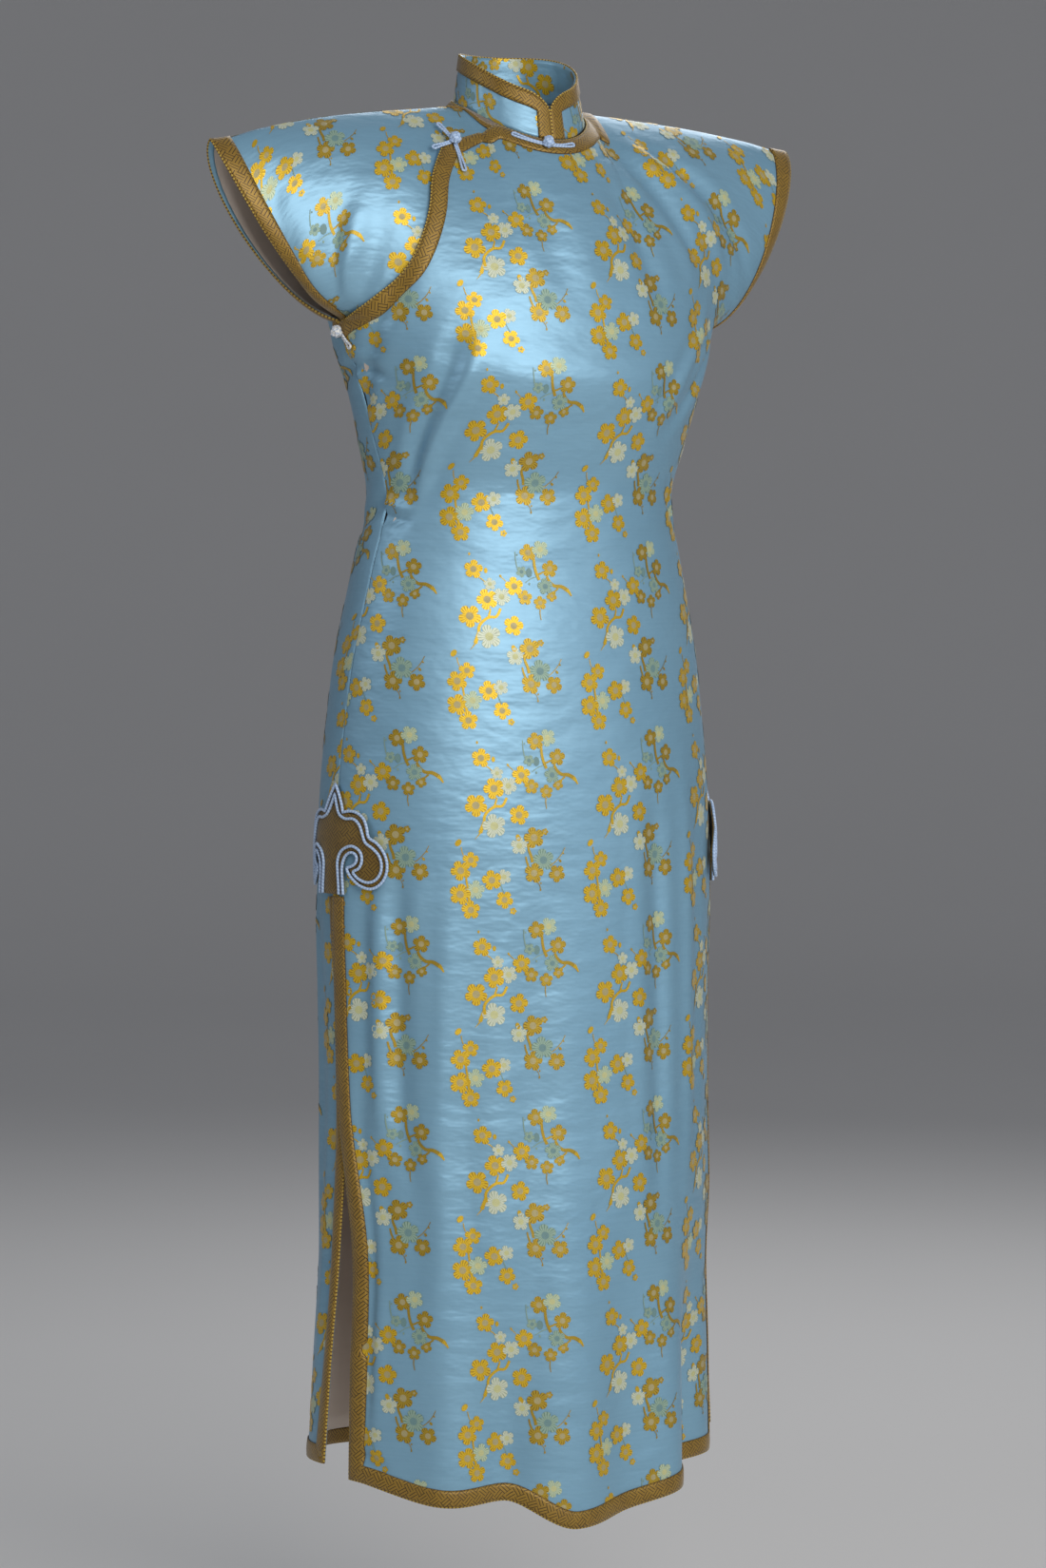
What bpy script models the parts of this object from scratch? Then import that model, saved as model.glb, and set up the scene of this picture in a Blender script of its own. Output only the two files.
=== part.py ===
"""Cheongsam in silk brocade, filled out as if worn, at real size in metres.

The origin is the middle of the neck, level with the side neck points. The front
faces -Y, the wearer's right side is -X and +Z is up. Every piece of cloth is an open
sheet worked out from the section tables below and thickened inwards. What is sewn on
top of a sheet takes that sheet's own points, moved out by the seam gap.
"""
import math

import bmesh
import bpy
from mathutils import Vector
from mathutils.geometry import delaunay_2d_cdt

# Driving sizes
UNDERARM_DROP = 0.193
SEAM_GAP = 0.0003
SEAM_SHIFT = 0.0004
CLOTH = 0.0015
LINING = 0.0010
LINING_INSET = 0.0045
BINDING = 0.0010
BINDING_WIDTH = 0.0145
UNDER_DEPTH = 0.0036
SLIT_LAP = 0.0038
NECK_HALF = 0.060
NECK_SHARE = 0.25
NECK_BAND_LEVEL = 0.072
COLLAR_HEIGHT = 0.042
COLLAR_THICK = 0.0018
COLLAR_CORNER = 0.026
COLLAR_INSET = 0.0016
COLLAR_RAISE = 0.0016
PIPING = 0.0026
FROG_CORD = 0.0021
FROG_KNOT = 0.0052
FROG_LIFT = 0.0003
CHECK_STEP = 0.001
# Metres to one level below the underarm, and a binding's width in levels.
CHEST_RISE = 0.20
BAND_LEVEL = BINDING_WIDTH / CHEST_RISE

# Body sections: name, drop below the neck point, half width in front and behind, depth in
# front and behind, forward shift, and the angle in degrees from the centre front where the
# front panel ends and where the back panel begins.
SECTIONS = (
    ("underarm", 0.193, 0.187, 0.187, 0.124, 0.104, 0.008, 88.0, 88.0),
    ("bust", 0.240, 0.173, 0.173, 0.130, 0.100, 0.010, 86.0, 86.0),
    ("under bust", 0.298, 0.158, 0.158, 0.114, 0.093, 0.008, 83.0, 83.0),
    ("waist", 0.348, 0.1478, 0.1478, 0.100, 0.096, 0.006, 80.0, 80.0),
    ("high hip", 0.416, 0.1614, 0.1614, 0.105, 0.109, 0.004, 81.0, 81.0),
    ("tummy", 0.511, 0.1786, 0.1786, 0.115, 0.126, 0.002, 84.0, 84.0),
    ("hip", 0.649, 0.190, 0.190, 0.122, 0.131, 0.000, 85.0, 85.0),
    ("slit top", 0.720, 0.190, 0.190, 0.122, 0.130, 0.000, 85.0, 82.5),
    ("thigh", 0.783, 0.188, 0.188, 0.122, 0.129, 0.000, 85.0, 81.0),
    ("slit parts", 0.883, 0.187, 0.187, 0.122, 0.127, 0.000, 83.5, 80.5),
    ("knee", 1.013, 0.186, 0.190, 0.125, 0.130, 0.000, 77.0, 83.0),
    ("calf", 1.135, 0.190, 0.198, 0.125, 0.130, 0.000, 77.0, 85.0),
    ("hem", 1.250, 0.192, 0.204, 0.125, 0.130, 0.000, 77.0, 86.0),
)
(FRONT_HALF, BACK_HALF, FRONT_DEPTH, BACK_DEPTH, SHIFT, FRONT_EDGE, BACK_EDGE) = range(2, 9)

# Folds of the skirt: name, half, angle from the centre front, spread in degrees, depth
# outwards, drop where it starts and drop where it is full.
FOLDS = (
    ("left slit valley", "front", 50.0, 11.0, -0.026, 0.96, 1.22),
    ("left ridge", "front", 31.0, 9.0, 0.009, 0.94, 1.20),
    ("left of centre valley", "front", 13.0, 8.0, -0.004, 1.00, 1.20),
    ("centre ridge", "front", -4.0, 11.0, 0.008, 0.85, 1.20),
    ("right valley", "front", -24.0, 8.0, -0.010, 1.00, 1.20),
    ("right ridge", "front", -41.0, 9.0, 0.006, 0.95, 1.20),
    ("back right valley", "back", -146.0, 10.0, -0.012, 0.95, 1.20),
    ("back right ridge", "back", -166.0, 10.0, 0.009, 0.90, 1.20),
    ("back middle valley", "back", 176.0, 9.0, -0.008, 0.98, 1.20),
    ("back left ridge", "back", 158.0, 10.0, 0.009, 0.92, 1.20),
    ("back left valley", "back", 138.0, 10.0, -0.013, 0.95, 1.20),
)

# Hem: name, degrees from the centre front on the front, or along the back from right to
# left, and the drop of the hem there.
FRONT_HEM = (
    ("right corner", -77.0, 1.217),
    ("right ridge", -38.0, 1.236),
    ("right valley", -24.0, 1.233),
    ("centre ridge", -4.0, 1.260),
    ("left valley", 15.0, 1.250),
    ("left ridge", 34.0, 1.238),
    ("left slit valley", 55.0, 1.225),
    ("left corner", 77.0, 1.221),
)
BACK_HEM = (
    ("right corner", 0.0, 1.2045),
    ("right ridge", 25.0, 1.206),
    ("middle", 90.0, 1.212),
    ("left ridge", 155.0, 1.206),
    ("left corner", 180.0, 1.2045),
)

# Shoulder line: name, share of the way from the neck to the sleeve tip, fall.
SHOULDER = (
    ("neck", 0.0, 0.000),
    ("inner", 0.25, 0.006),
    ("middle", 0.5, 0.014),
    ("outer", 0.8, 0.030),
    ("tip", 1.0, 0.044),
)
SLEEVE_TIP = {-1: (-0.306, 0.0, -0.040), 1: (0.288, 0.0, -0.024)}

# The outer front's columns: where each stands low on the skirt, and where it ends on the
# curved flap edge, the neck edge or the shoulder (share across, level up).
FRONT_COLUMNS = (
    ("right seam", -1.0, -1.0, 0.982),
    ("slit binding", -0.944, -0.944, 1.01),
    ("flap 1", -0.86, -0.855, 1.055),
    ("flap 2", -0.77, -0.76, 1.095),
    ("flap 3", -0.68, -0.66, 1.15),
    ("flap 4", -0.59, -0.58, 1.22),
    ("flap 5", -0.50, -0.515, 1.32),
    ("flap 6", -0.42, -0.465, 1.44),
    ("flap 7", -0.36, -0.43, 1.575),
    ("flap corner", -0.30, -0.37, 1.715),
    ("neck edge", -0.235, -0.24, 1.775),
    ("neck joins", -0.155, -0.125, 2.0),
    ("neck 2", -0.080, -0.0625, 2.0),
    ("neck front", 0.0, 0.0, 2.0),
    ("neck 4", 0.070, 0.0625, 2.0),
    ("neck 5", 0.140, 0.125, 2.0),
    ("neck 6", 0.210, 0.1875, 2.0),
    ("neck point", 0.285, 0.25, 2.0),
    ("shoulder 1", 0.36, 0.36, 2.0),
    ("shoulder 2", 0.47, 0.47, 2.0),
    ("shoulder 3", 0.58, 0.58, 2.0),
    ("shoulder 4", 0.69, 0.69, 2.0),
    ("shoulder 5", 0.79, 0.79, 2.0),
    ("shoulder 6", 0.87, 0.87, 2.0),
    ("sleeve binding", 0.944, 0.944, 2.0),
    ("left seam", 1.0, 1.0, 2.0),
)
FLAP_CORNER = 9
NECK_JOIN = 11
NECK_POINT = 17
LEAN_FROM = -0.135

# Lower edge of the hidden right front: share across, level.
UNDER_EDGE = (
    ("side", -1.0, 0.855),
    ("sleeve binding", -0.944, 0.855),
    ("underarm", -0.8, 0.95),
    ("chest", -0.6, 1.08),
    ("flap middle", -0.45, 1.25),
    ("flap top", -0.33, 1.50),
    ("neck", -0.125, 1.72),
)
UNDER_COLUMNS = (-1.0, -0.944, -0.87, -0.79, -0.69, -0.58, -0.47, -0.36, -0.25, -0.1875, -0.125)
BACK_COLUMNS = (-1.0, -0.944, -0.87, -0.79, -0.69, -0.58, -0.47, -0.36, -0.25, -0.1875, -0.125,
                -0.0625, 0.0, 0.0625, 0.125, 0.1875, 0.25, 0.36, 0.47, 0.58, 0.69, 0.79, 0.87,
                0.944, 1.0)
# Levels where the slit ends and the chest rows start, and the rows between them.
SLIT_LEVEL = -1.535
CHEST_LEVEL = 0.60
SLIT_ROWS = 8
BODY_ROWS = 6
# Rows of the chest: up to the underarm, then as shares of the way from there to the top.
UNDERARM_LEVELS = (0.80, 1.0 - BAND_LEVEL, 1.0)
CHEST_SHARES = (0.22, 0.45, 0.68, 0.88, 0.97, 1.0)
CHEST_ROWS = len(UNDERARM_LEVELS) + len(CHEST_SHARES)
UNDERARM_ROW = SLIT_ROWS + BODY_ROWS + 1 + len(UNDERARM_LEVELS)
BAND_ROW = UNDERARM_ROW + len(CHEST_SHARES)
UNDER_ROW = len(CHEST_SHARES) + 2

# Cloud applique over each slit's top, from its tip along the outer cord to the foot of its
# stem: name, metres across from the side seam, metres down from the tip.
CLOUD_TOP = 0.601
CLOUD_LIFT = 0.0014
CLOUD_CELL = 0.008
CLOUD_OUTER = (
    ("tip", 0.0, 0.0),
    ("tip side", 0.0055, 0.0085),
    ("neck", 0.0100, 0.0175),
    ("notch", 0.0126, 0.0245),
    ("shoulder", 0.0205, 0.0232),
    ("shoulder top", 0.0285, 0.0248),
    ("shoulder side", 0.0352, 0.0297),
    ("waist", 0.0388, 0.0373),
    ("waist notch", 0.0412, 0.0456),
    ("lobe top", 0.0485, 0.0505),
    ("lobe side", 0.0545, 0.0580),
    ("lobe wide", 0.0576, 0.0670),
    ("lobe low", 0.0572, 0.0765),
    ("lobe foot", 0.0528, 0.0855),
    ("foot", 0.0440, 0.0908),
    ("foot in", 0.0335, 0.0885),
    ("hook side", 0.0248, 0.0815),
    ("hook end", 0.0206, 0.0755),
    ("hook tip", 0.0203, 0.0728),
    ("eye low", 0.0245, 0.0718),
    ("eye side", 0.0290, 0.0685),
    ("eye", 0.0302, 0.0637),
    ("eye top", 0.0275, 0.0600),
    ("eye in", 0.0228, 0.0598),
    ("stem top", 0.0178, 0.0638),
    ("stem", 0.0150, 0.0718),
    ("stem low", 0.0150, 0.0810),
    ("stem foot", 0.0156, 0.0900),
    ("foot seam", 0.0160, 0.0970),
)
CLOUD_INNER = (
    ("tip", 0.0, 0.0085),
    ("tip side", 0.0032, 0.0168),
    ("notch", 0.0085, 0.0262),
    ("shoulder", 0.0162, 0.0300),
    ("shoulder top", 0.0250, 0.0300),
    ("shoulder side", 0.0315, 0.0350),
    ("waist", 0.0350, 0.0428),
    ("waist notch", 0.0383, 0.0503),
    ("lobe top", 0.0450, 0.0552),
    ("lobe side", 0.0508, 0.0616),
    ("lobe wide", 0.0530, 0.0700),
    ("lobe low", 0.0516, 0.0777),
    ("lobe foot", 0.0468, 0.0835),
    ("foot", 0.0400, 0.0853),
    ("foot in", 0.0320, 0.0825),
    ("hook end", 0.0267, 0.0778),
    ("hook tip", 0.0272, 0.0758),
    ("eye low", 0.0318, 0.0735),
    ("eye side", 0.0350, 0.0672),
    ("eye", 0.0338, 0.0590),
    ("eye top", 0.0276, 0.0543),
    ("eye in", 0.0215, 0.0543),
    ("stem top", 0.0135, 0.0590),
    ("stem", 0.0098, 0.0675),
    ("stem low", 0.0100, 0.0775),
    ("stem foot", 0.0108, 0.0880),
    ("foot seam", 0.0112, 0.0970),
)

# Frog buttons: name, share across and level of the knot, and how far the hollow of the
# cloth there lets it in.
FROG_KNOTS = (
    ("neck_frog", -0.026, 1.955, 0.0009),
    ("flap_frog", -0.340, 1.718, 0.0),
    ("underarm_frog", -0.985, 0.955, 0.0006),
)
# Their arms: frog, name, share across and level of the far end.
FROG_ARMS = (
    ("neck_frog", "right_arm", -0.105, 1.955),
    ("neck_frog", "left_arm", 0.044, 1.952),
    ("flap_frog", "upper_arm", -0.365, 1.818),
    ("flap_frog", "lower_arm", -0.335, 1.585),
    ("flap_frog", "side_arm", -0.405, 1.695),
    ("underarm_frog", "arm", -0.955, 0.880),
)

COLOURS = {
    "satin": ((0.20, 0.38, 0.52), 0.35, 0.0),
    "gold_brocade": ((0.42, 0.25, 0.05), 0.45, 0.2),
    "piping_cord": ((0.45, 0.56, 0.78), 0.5, 0.0),
    "lining_silk": ((0.62, 0.55, 0.47), 0.6, 0.0),
}


def clear_scene():
    for item in list(bpy.data.objects):
        bpy.data.objects.remove(item, do_unlink=True)


def make_collection(name):
    collection = bpy.data.collections.new(name)
    bpy.context.scene.collection.children.link(collection)
    return collection


def make_material(name, slot):
    colour, rough, metal = COLOURS[slot]
    material = bpy.data.materials.new(name)
    material.use_nodes = True
    shader = material.node_tree.nodes["Principled BSDF"]
    shader.inputs["Base Color"].default_value = (*colour, 1.0)
    shader.inputs["Roughness"].default_value = rough
    shader.inputs["Metallic"].default_value = metal
    return material


# Reading the tables
def slope_at(table, column, k):
    if k in (0, len(table) - 1):
        return 0.0
    before = (table[k][column] - table[k - 1][column]) / (table[k][1] - table[k - 1][1])
    after = (table[k + 1][column] - table[k][column]) / (table[k + 1][1] - table[k][1])
    if before * after <= 0.0:
        return 0.0
    return 2.0 * before * after / (before + after)


def read(table, at, column=2):
    """Smooth value of a column where the table's second column has the value `at`."""
    if at <= table[0][1]:
        return table[0][column]
    if at >= table[-1][1]:
        return table[-1][column]
    k = max(i for i in range(len(table) - 1) if table[i][1] <= at)
    step = table[k + 1][1] - table[k][1]
    t = (at - table[k][1]) / step
    level = table[k][column] * (1 + 2 * t) * (1 - t) ** 2
    level += table[k + 1][column] * t * t * (3 - 2 * t)
    lean = slope_at(table, column, k) * t * (1 - t) ** 2
    lean -= slope_at(table, column, k + 1) * t * t * (1 - t)
    return level + step * lean


def ease(t):
    t = min(1.0, max(0.0, t))
    return t * t * (3 - 2 * t)


# The form of the cloth
def fold_depth(half, degrees, drop):
    depth = 0.0
    for _name, of_half, angle, spread, out, start, full in FOLDS:
        if of_half == half:
            away = (degrees - angle + 180.0) % 360.0 - 180.0
            depth += out * math.exp(-(away / spread) ** 2) * ease((drop - start) / (full - start))
    return depth


def lap_share(drop):
    return ease((drop - 0.61) / 0.05)


def slit_lap(half, share, drop):
    """The front's slit edge stands out just enough to lie over the back's."""
    if half == "back":
        return 0.0
    edge = ease((abs(share) - 0.80) / 0.12)
    return SLIT_LAP * edge * lap_share(drop) * (1 - ease((drop - 0.96) / 0.10))


def ring_point(half, share, drop):
    """Point of the body, a share across one half (-1 right edge, 1 left edge)."""
    if half == "front":
        degrees = share * read(SECTIONS, drop, FRONT_EDGE)
    else:
        sweep = 180.0 - read(SECTIONS, drop, BACK_EDGE)
        degrees = math.copysign(180.0, share) - share * sweep
    angle = math.radians(degrees)
    wide = read(SECTIONS, drop, FRONT_HALF if half == "front" else BACK_HALF)
    deep = read(SECTIONS, drop, FRONT_DEPTH if abs(degrees) < 90 else BACK_DEPTH)
    out = fold_depth(half, degrees, drop) + slit_lap(half, share, drop)
    across = (wide + out) * math.sin(angle)
    along = -(deep + out) * math.cos(angle) - read(SECTIONS, drop, SHIFT)
    return Vector((across, along, -drop))


def neck_point(angle):
    """Neck seam, the angle taken from the centre front."""
    forward = math.cos(angle)
    return Vector((NECK_HALF * math.sin(angle), -0.005 - 0.061 * forward,
                   -0.021 * forward - 0.011 * forward ** 2))


def top_point(half, share):
    if abs(share) <= NECK_SHARE:
        angle = math.radians(90.0 * share / NECK_SHARE)
        return neck_point(angle if half == "front" else math.pi - angle)
    side = 1 if share > 0 else -1
    out = (abs(share) - NECK_SHARE) / (1 - NECK_SHARE)
    tip = SLEEVE_TIP[side]
    across = side * NECK_HALF + (tip[0] - side * NECK_HALF) * out
    fall = read(SHOULDER, out) * abs(tip[2]) / SHOULDER[-1][2]
    return Vector((across, -0.005 * (1 - out), -fall))


def high_point(half, share, rise):
    """Point above the underarm: rise is 0 there and 1 on the shoulder or neck seam."""
    face = -1 if half == "front" else 1
    side = 1 if share > 0 else -1
    low = ring_point(half, share, UNDERARM_DROP)
    below = ring_point(half, share, UNDERARM_DROP + 0.02)
    top = top_point(half, share)
    mouth = ease((abs(share) - 0.62) / 0.38)
    start = (low - below) * (UNDERARM_DROP / 0.02)
    start = start.lerp(Vector((side * 0.16, face * 0.07, 0.04)), mouth)
    beside_neck = 1.0 - math.cos(math.radians(90.0 * min(1.0, abs(share) / NECK_SHARE)))
    neck_end = Vector((0.0, 0.10, 0.13)) if half == "front" else Vector((0.0, -0.10, 0.05))
    shoulder_end = Vector((0.0, -face * 0.16, 0.06))
    mouth_end = Vector((0.0, -face * 0.10, 0.07))
    end = neck_end.lerp(shoulder_end.lerp(mouth_end, mouth), beside_neck)
    t = rise
    return (low * ((1 + 2 * t) * (1 - t) ** 2) + start * (t * (1 - t) ** 2)
            + top * (t * t * (3 - 2 * t)) - end * (t * t * (1 - t)))


def hem_drop(half, share):
    if half == "front":
        return read(FRONT_HEM, 77.0 * share)
    return read(BACK_HEM, 90.0 + 90.0 * share)


def cloth_point(half, share, level):
    """Level 1 is the underarm and 2 the shoulder line or neck seam."""
    shift = Vector((0.0, -SEAM_SHIFT if half == "front" else SEAM_SHIFT, 0.0))
    if level > 1:
        return high_point(half, share, level - 1) + shift
    return ring_point(half, share, UNDERARM_DROP + (1.0 - level) * CHEST_RISE) + shift


def cloth_normal(half, share, level):
    """Outward normal of the cloth at that place."""
    a = min(1.0, max(-1.0, share - CHECK_STEP))
    b = min(1.0, max(-1.0, share + CHECK_STEP))
    c = level - CHECK_STEP
    d = min(2.0, max(0.0, level + CHECK_STEP))
    across = cloth_point(half, b, level) - cloth_point(half, a, level)
    upward = cloth_point(half, share, d) - cloth_point(half, share, c)
    normal = across.cross(upward)
    if half == "back":
        normal = -normal
    return normal.normalized()


def moved(half, share, level, out):
    return cloth_point(half, share, level) + cloth_normal(half, share, level) * out


# Turning grids of points into solids
def sheet(name, columns, thickness, slot, flip=False, seam=None):
    """A sheet through columns of points, thickened; points of None leave cells out."""
    mesh_maker = bmesh.new()
    verts = {}
    for i, column in enumerate(columns):
        for j, point in enumerate(column):
            if point is not None:
                verts[i, j] = mesh_maker.verts.new(point)
    for i in range(len(columns) - 1):
        for j in range(max(len(columns[i]), len(columns[i + 1])) - 1):
            corners = [(i, j), (i + 1, j), (i + 1, j + 1), (i, j + 1)]
            if all(corner in verts for corner in corners):
                face = [verts[corner] for corner in corners]
                mesh_maker.faces.new(reversed(face) if flip else face)
    for corner in [key for key, vert in verts.items() if not vert.link_faces]:
        mesh_maker.verts.remove(verts.pop(corner))
    mesh_maker.verts.index_update()
    squared = [vert.index for key, vert in verts.items() if seam and seam(*key)]
    piece = finish_sheet(name, mesh_maker, thickness, slot, True)
    if squared:
        square_seams(piece, squared)
    return piece


def square_seams(piece, squared):
    """Applies the wall and stands its seam faces upright, so that two panels can meet there."""
    count = len(piece.data.vertices)
    solid = bpy.data.meshes.new_from_object(piece.evaluated_get(bpy.context.evaluated_depsgraph_get()))
    for index in squared:
        solid.vertices[index + count].co.y = solid.vertices[index].co.y
    solid.name = piece.name
    piece.modifiers.clear()
    piece.data = solid


def finish_sheet(name, mesh_maker, thickness, slot, inward):
    mesh = bpy.data.meshes.new(name)
    mesh_maker.to_mesh(mesh)
    mesh_maker.free()
    piece = bpy.data.objects.new(name, mesh)
    PARTS.objects.link(piece)
    solidify = piece.modifiers.new("Wall", "SOLIDIFY")
    solidify.thickness = thickness
    solidify.offset = -1.0 if inward else 1.0
    solidify.use_even_offset = False
    mesh.materials.append(make_material(name, slot))
    mesh.shade_smooth()
    return piece


def grid_normals(columns, flip=False):
    """Outward normal at each point of a grid, from the faces around it."""
    normals = {}
    for i in range(len(columns) - 1):
        for j in range(min(len(columns[i]), len(columns[i + 1])) - 1):
            corners = [(i, j), (i + 1, j), (i + 1, j + 1), (i, j + 1)]
            a, b, c, d = (columns[p][q] for p, q in corners)
            if None in (a, b, c, d):
                continue
            normal = (c - a).cross(d - b)
            for corner in corners:
                normals[corner] = normals.get(corner, Vector()) + (-normal if flip else normal)
    return {corner: normal.normalized() for corner, normal in normals.items()}


def strip(name, columns, keep, flip=False):
    """Binding over the cells of a grid that keep(i, j) allows, moved out by the seam gap."""
    normals = grid_normals(columns, flip)
    mesh_maker = bmesh.new()
    verts = {}
    for i in range(len(columns) - 1):
        for j in range(min(len(columns[i]), len(columns[i + 1])) - 1):
            corners = [(i, j), (i + 1, j), (i + 1, j + 1), (i, j + 1)]
            if not keep(i, j) or any(columns[p][q] is None for p, q in corners):
                continue
            for p, q in corners:
                if (p, q) not in verts:
                    verts[p, q] = mesh_maker.verts.new(columns[p][q] + normals[p, q] * SEAM_GAP)
            face = [verts[corner] for corner in corners]
            mesh_maker.faces.new(reversed(face) if flip else face)
    return finish_sheet(name, mesh_maker, BINDING, "gold_brocade", False)


# Front, right front and back
def rows_up_to(half, share, top, on_flap=False):
    """Levels from the hem to a column's top, the same number of them in every column."""
    hem = 1.0 - (hem_drop(half, share) - UNDERARM_DROP) / CHEST_RISE
    bound = hem + BAND_LEVEL
    slit = [bound + (SLIT_LEVEL - bound) * k / SLIT_ROWS for k in range(SLIT_ROWS)]
    body = [SLIT_LEVEL + (CHEST_LEVEL - SLIT_LEVEL) * k / BODY_ROWS for k in range(BODY_ROWS + 1)]
    chest = list(UNDERARM_LEVELS) + [1.0 + (top - 1.0) * step for step in CHEST_SHARES]
    if on_flap:
        chest = [CHEST_LEVEL + (top - CHEST_LEVEL) * (k + 1) / CHEST_ROWS for k in range(CHEST_ROWS)]
    return [hem] + slit + body + chest


def band_inner(half, before, at, after, width):
    """Place on the cloth a binding's width inside an edge that runs before, at, after."""
    points = [cloth_point(half, *place) for place in (before, at, after)]
    first = (points[1] - points[0]).normalized() if before != at else None
    second = (points[2] - points[1]).normalized() if after != at else None
    along = ((first or second) + (second or first)).normalized()
    inward = along.cross(cloth_normal(half, *at)).normalized()
    if half == "back":
        inward = -inward
    mitre = along.dot(first or second)
    share_side = -CHECK_STEP if at[0] > 0 else CHECK_STEP
    by_share = (cloth_point(half, at[0] + share_side, at[1]) - points[1]) / share_side
    by_level = (points[1] - cloth_point(half, at[0], at[1] - CHECK_STEP)) / CHECK_STEP
    wanted = inward * (width / max(0.6, mitre))
    a, b, c = by_share.dot(by_share), by_share.dot(by_level), by_level.dot(by_level)
    p, q = by_share.dot(wanted), by_level.dot(wanted)
    area = a * c - b * b
    share = at[0] + (c * p - b * q) / area
    level = at[1] + (a * q - b * p) / area
    return (min(1.0, max(-1.0, share)), min(2.0, level))


def front_columns():
    tops = [(share, level) for _name, _low, share, level in FRONT_COLUMNS]
    columns = []
    for i, (_name, low, share, level) in enumerate(FRONT_COLUMNS):
        if i <= NECK_POINT:
            before = tops[i - 1] if i else tops[0]
            after = tops[i + 1]
            if i < 2:
                inner = (share, level - BAND_LEVEL)
            elif i == NECK_POINT:
                inner = (share + BINDING_WIDTH * (1 - NECK_SHARE) / (SLEEVE_TIP[1][0] - NECK_HALF), 2.0)
            else:
                inner = band_inner("front", before, tops[i], after, BINDING_WIDTH)
        else:
            inner = (share, 2.0)
        column = []
        for row in rows_up_to("front", low, inner[1], i < NECK_JOIN):
            lean = ease((row - LEAN_FROM) / (inner[1] - LEAN_FROM)) if row > LEAN_FROM else 0.0
            column.append(cloth_point("front", low + (inner[0] - low) * lean, row))
        column.append(cloth_point("front", share, level) if i <= NECK_POINT else None)
        columns.append(column)
    return columns


def under_depth(share, level):
    """How far the right front lies inside the outer one."""
    edge = [(name, top, up) for name, _low, top, up in FRONT_COLUMNS[:FLAP_CORNER + 3]]
    above = level - read(edge, share)
    return UNDER_DEPTH * (1.0 - ease((above - 0.05) / 0.22))


def under_columns():
    columns = []
    for share in UNDER_COLUMNS:
        low = read(UNDER_EDGE, share)
        base = max(1.0, low + BAND_LEVEL)
        beside_neck = share >= -NECK_SHARE
        end = 2.0
        out = share
        if share == -NECK_SHARE:
            out -= BINDING_WIDTH * (1 - NECK_SHARE) / (-SLEEVE_TIP[-1][0] - NECK_HALF)
        elif beside_neck:
            end -= NECK_BAND_LEVEL
        column = []
        for level in (low, (low + base) / 2, base):
            column.append(moved("front", share, level, -under_depth(share, level)))
        for step in CHEST_SHARES:
            level = base + (end - base) * step
            place = share + (out - share) * ease(step)
            column.append(moved("front", place, level, -under_depth(place, level)))
        column.append(moved("front", share, 2.0, -under_depth(share, 2.0)) if beside_neck else None)
        columns.append(column)
    return columns


def back_columns():
    columns = []
    for share in BACK_COLUMNS:
        beside_neck = abs(share) <= NECK_SHARE
        end = 2.0 - NECK_BAND_LEVEL if beside_neck else 2.0
        out = share
        if abs(share) == NECK_SHARE:
            side = 1 if share > 0 else -1
            reach = abs(SLEEVE_TIP[side][0]) - NECK_HALF
            out = share + side * BINDING_WIDTH * (1 - NECK_SHARE) / reach
            end = 2.0
        column = []
        for row in rows_up_to("back", share, end):
            lean = ease((row - LEAN_FROM) / (end - LEAN_FROM)) if row > LEAN_FROM else 0.0
            column.append(cloth_point("back", share + (out - share) * lean, row))
        column.append(cloth_point("back", share, 2.0) if beside_neck else None)
        columns.append(column)
    return columns


def build_panels():
    front = front_columns()
    under = under_columns()
    back = back_columns()
    under_neck = UNDER_COLUMNS.index(-NECK_SHARE)

    def front_seam(i, j):
        on_side = i == 0 or (i == len(front) - 1 and j <= UNDERARM_ROW)
        return on_side or (i > NECK_POINT and j == BAND_ROW) or (i == NECK_POINT and j >= BAND_ROW)

    def under_seam(i, j):
        return (i < under_neck and j == UNDER_ROW) or (i == under_neck and j >= UNDER_ROW)

    def back_seam(i, j):
        on_side = i in (0, len(back) - 1) and j <= UNDERARM_ROW
        beyond = abs(BACK_COLUMNS[i]) - NECK_SHARE
        return on_side or (beyond > 0 and j == BAND_ROW) or (beyond == 0 and j >= BAND_ROW)

    sheet("front_panel", front, CLOTH, "satin", seam=front_seam)
    sheet("right_front", under, CLOTH, "satin", seam=under_seam)
    sheet("back_panel", back, CLOTH, "satin", flip=True, seam=back_seam)
    return front, under, back


def build_edge_bindings(front, under, back):
    def hem_and_slits(columns):
        return lambda i, j: j == 0 or (j <= SLIT_ROWS and i in (0, len(columns) - 2))

    strip("front_hem_binding", front, hem_and_slits(front))
    strip("back_hem_binding", back, hem_and_slits(back), flip=True)
    strip("flap_binding", front, lambda i, j: j == BAND_ROW and i < FLAP_CORNER)
    strip("neck_band_front", front, lambda i, j: j == BAND_ROW and FLAP_CORNER <= i < NECK_POINT)
    strip("neck_band_back", back, lambda i, j: j == BAND_ROW, flip=True)
    strip("neck_band_right", under,
          lambda i, j: j == UNDER_ROW and i >= UNDER_COLUMNS.index(-NECK_SHARE))
    from_row = UNDERARM_ROW - 1
    sleeve_binding("sleeve_binding_left", (front, len(front) - 2, from_row, BAND_ROW),
                   (back, len(back) - 2, from_row, BAND_ROW))
    sleeve_binding("sleeve_binding_right", (under, 0, 1, UNDER_ROW), (back, 0, from_row, BAND_ROW))


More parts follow.
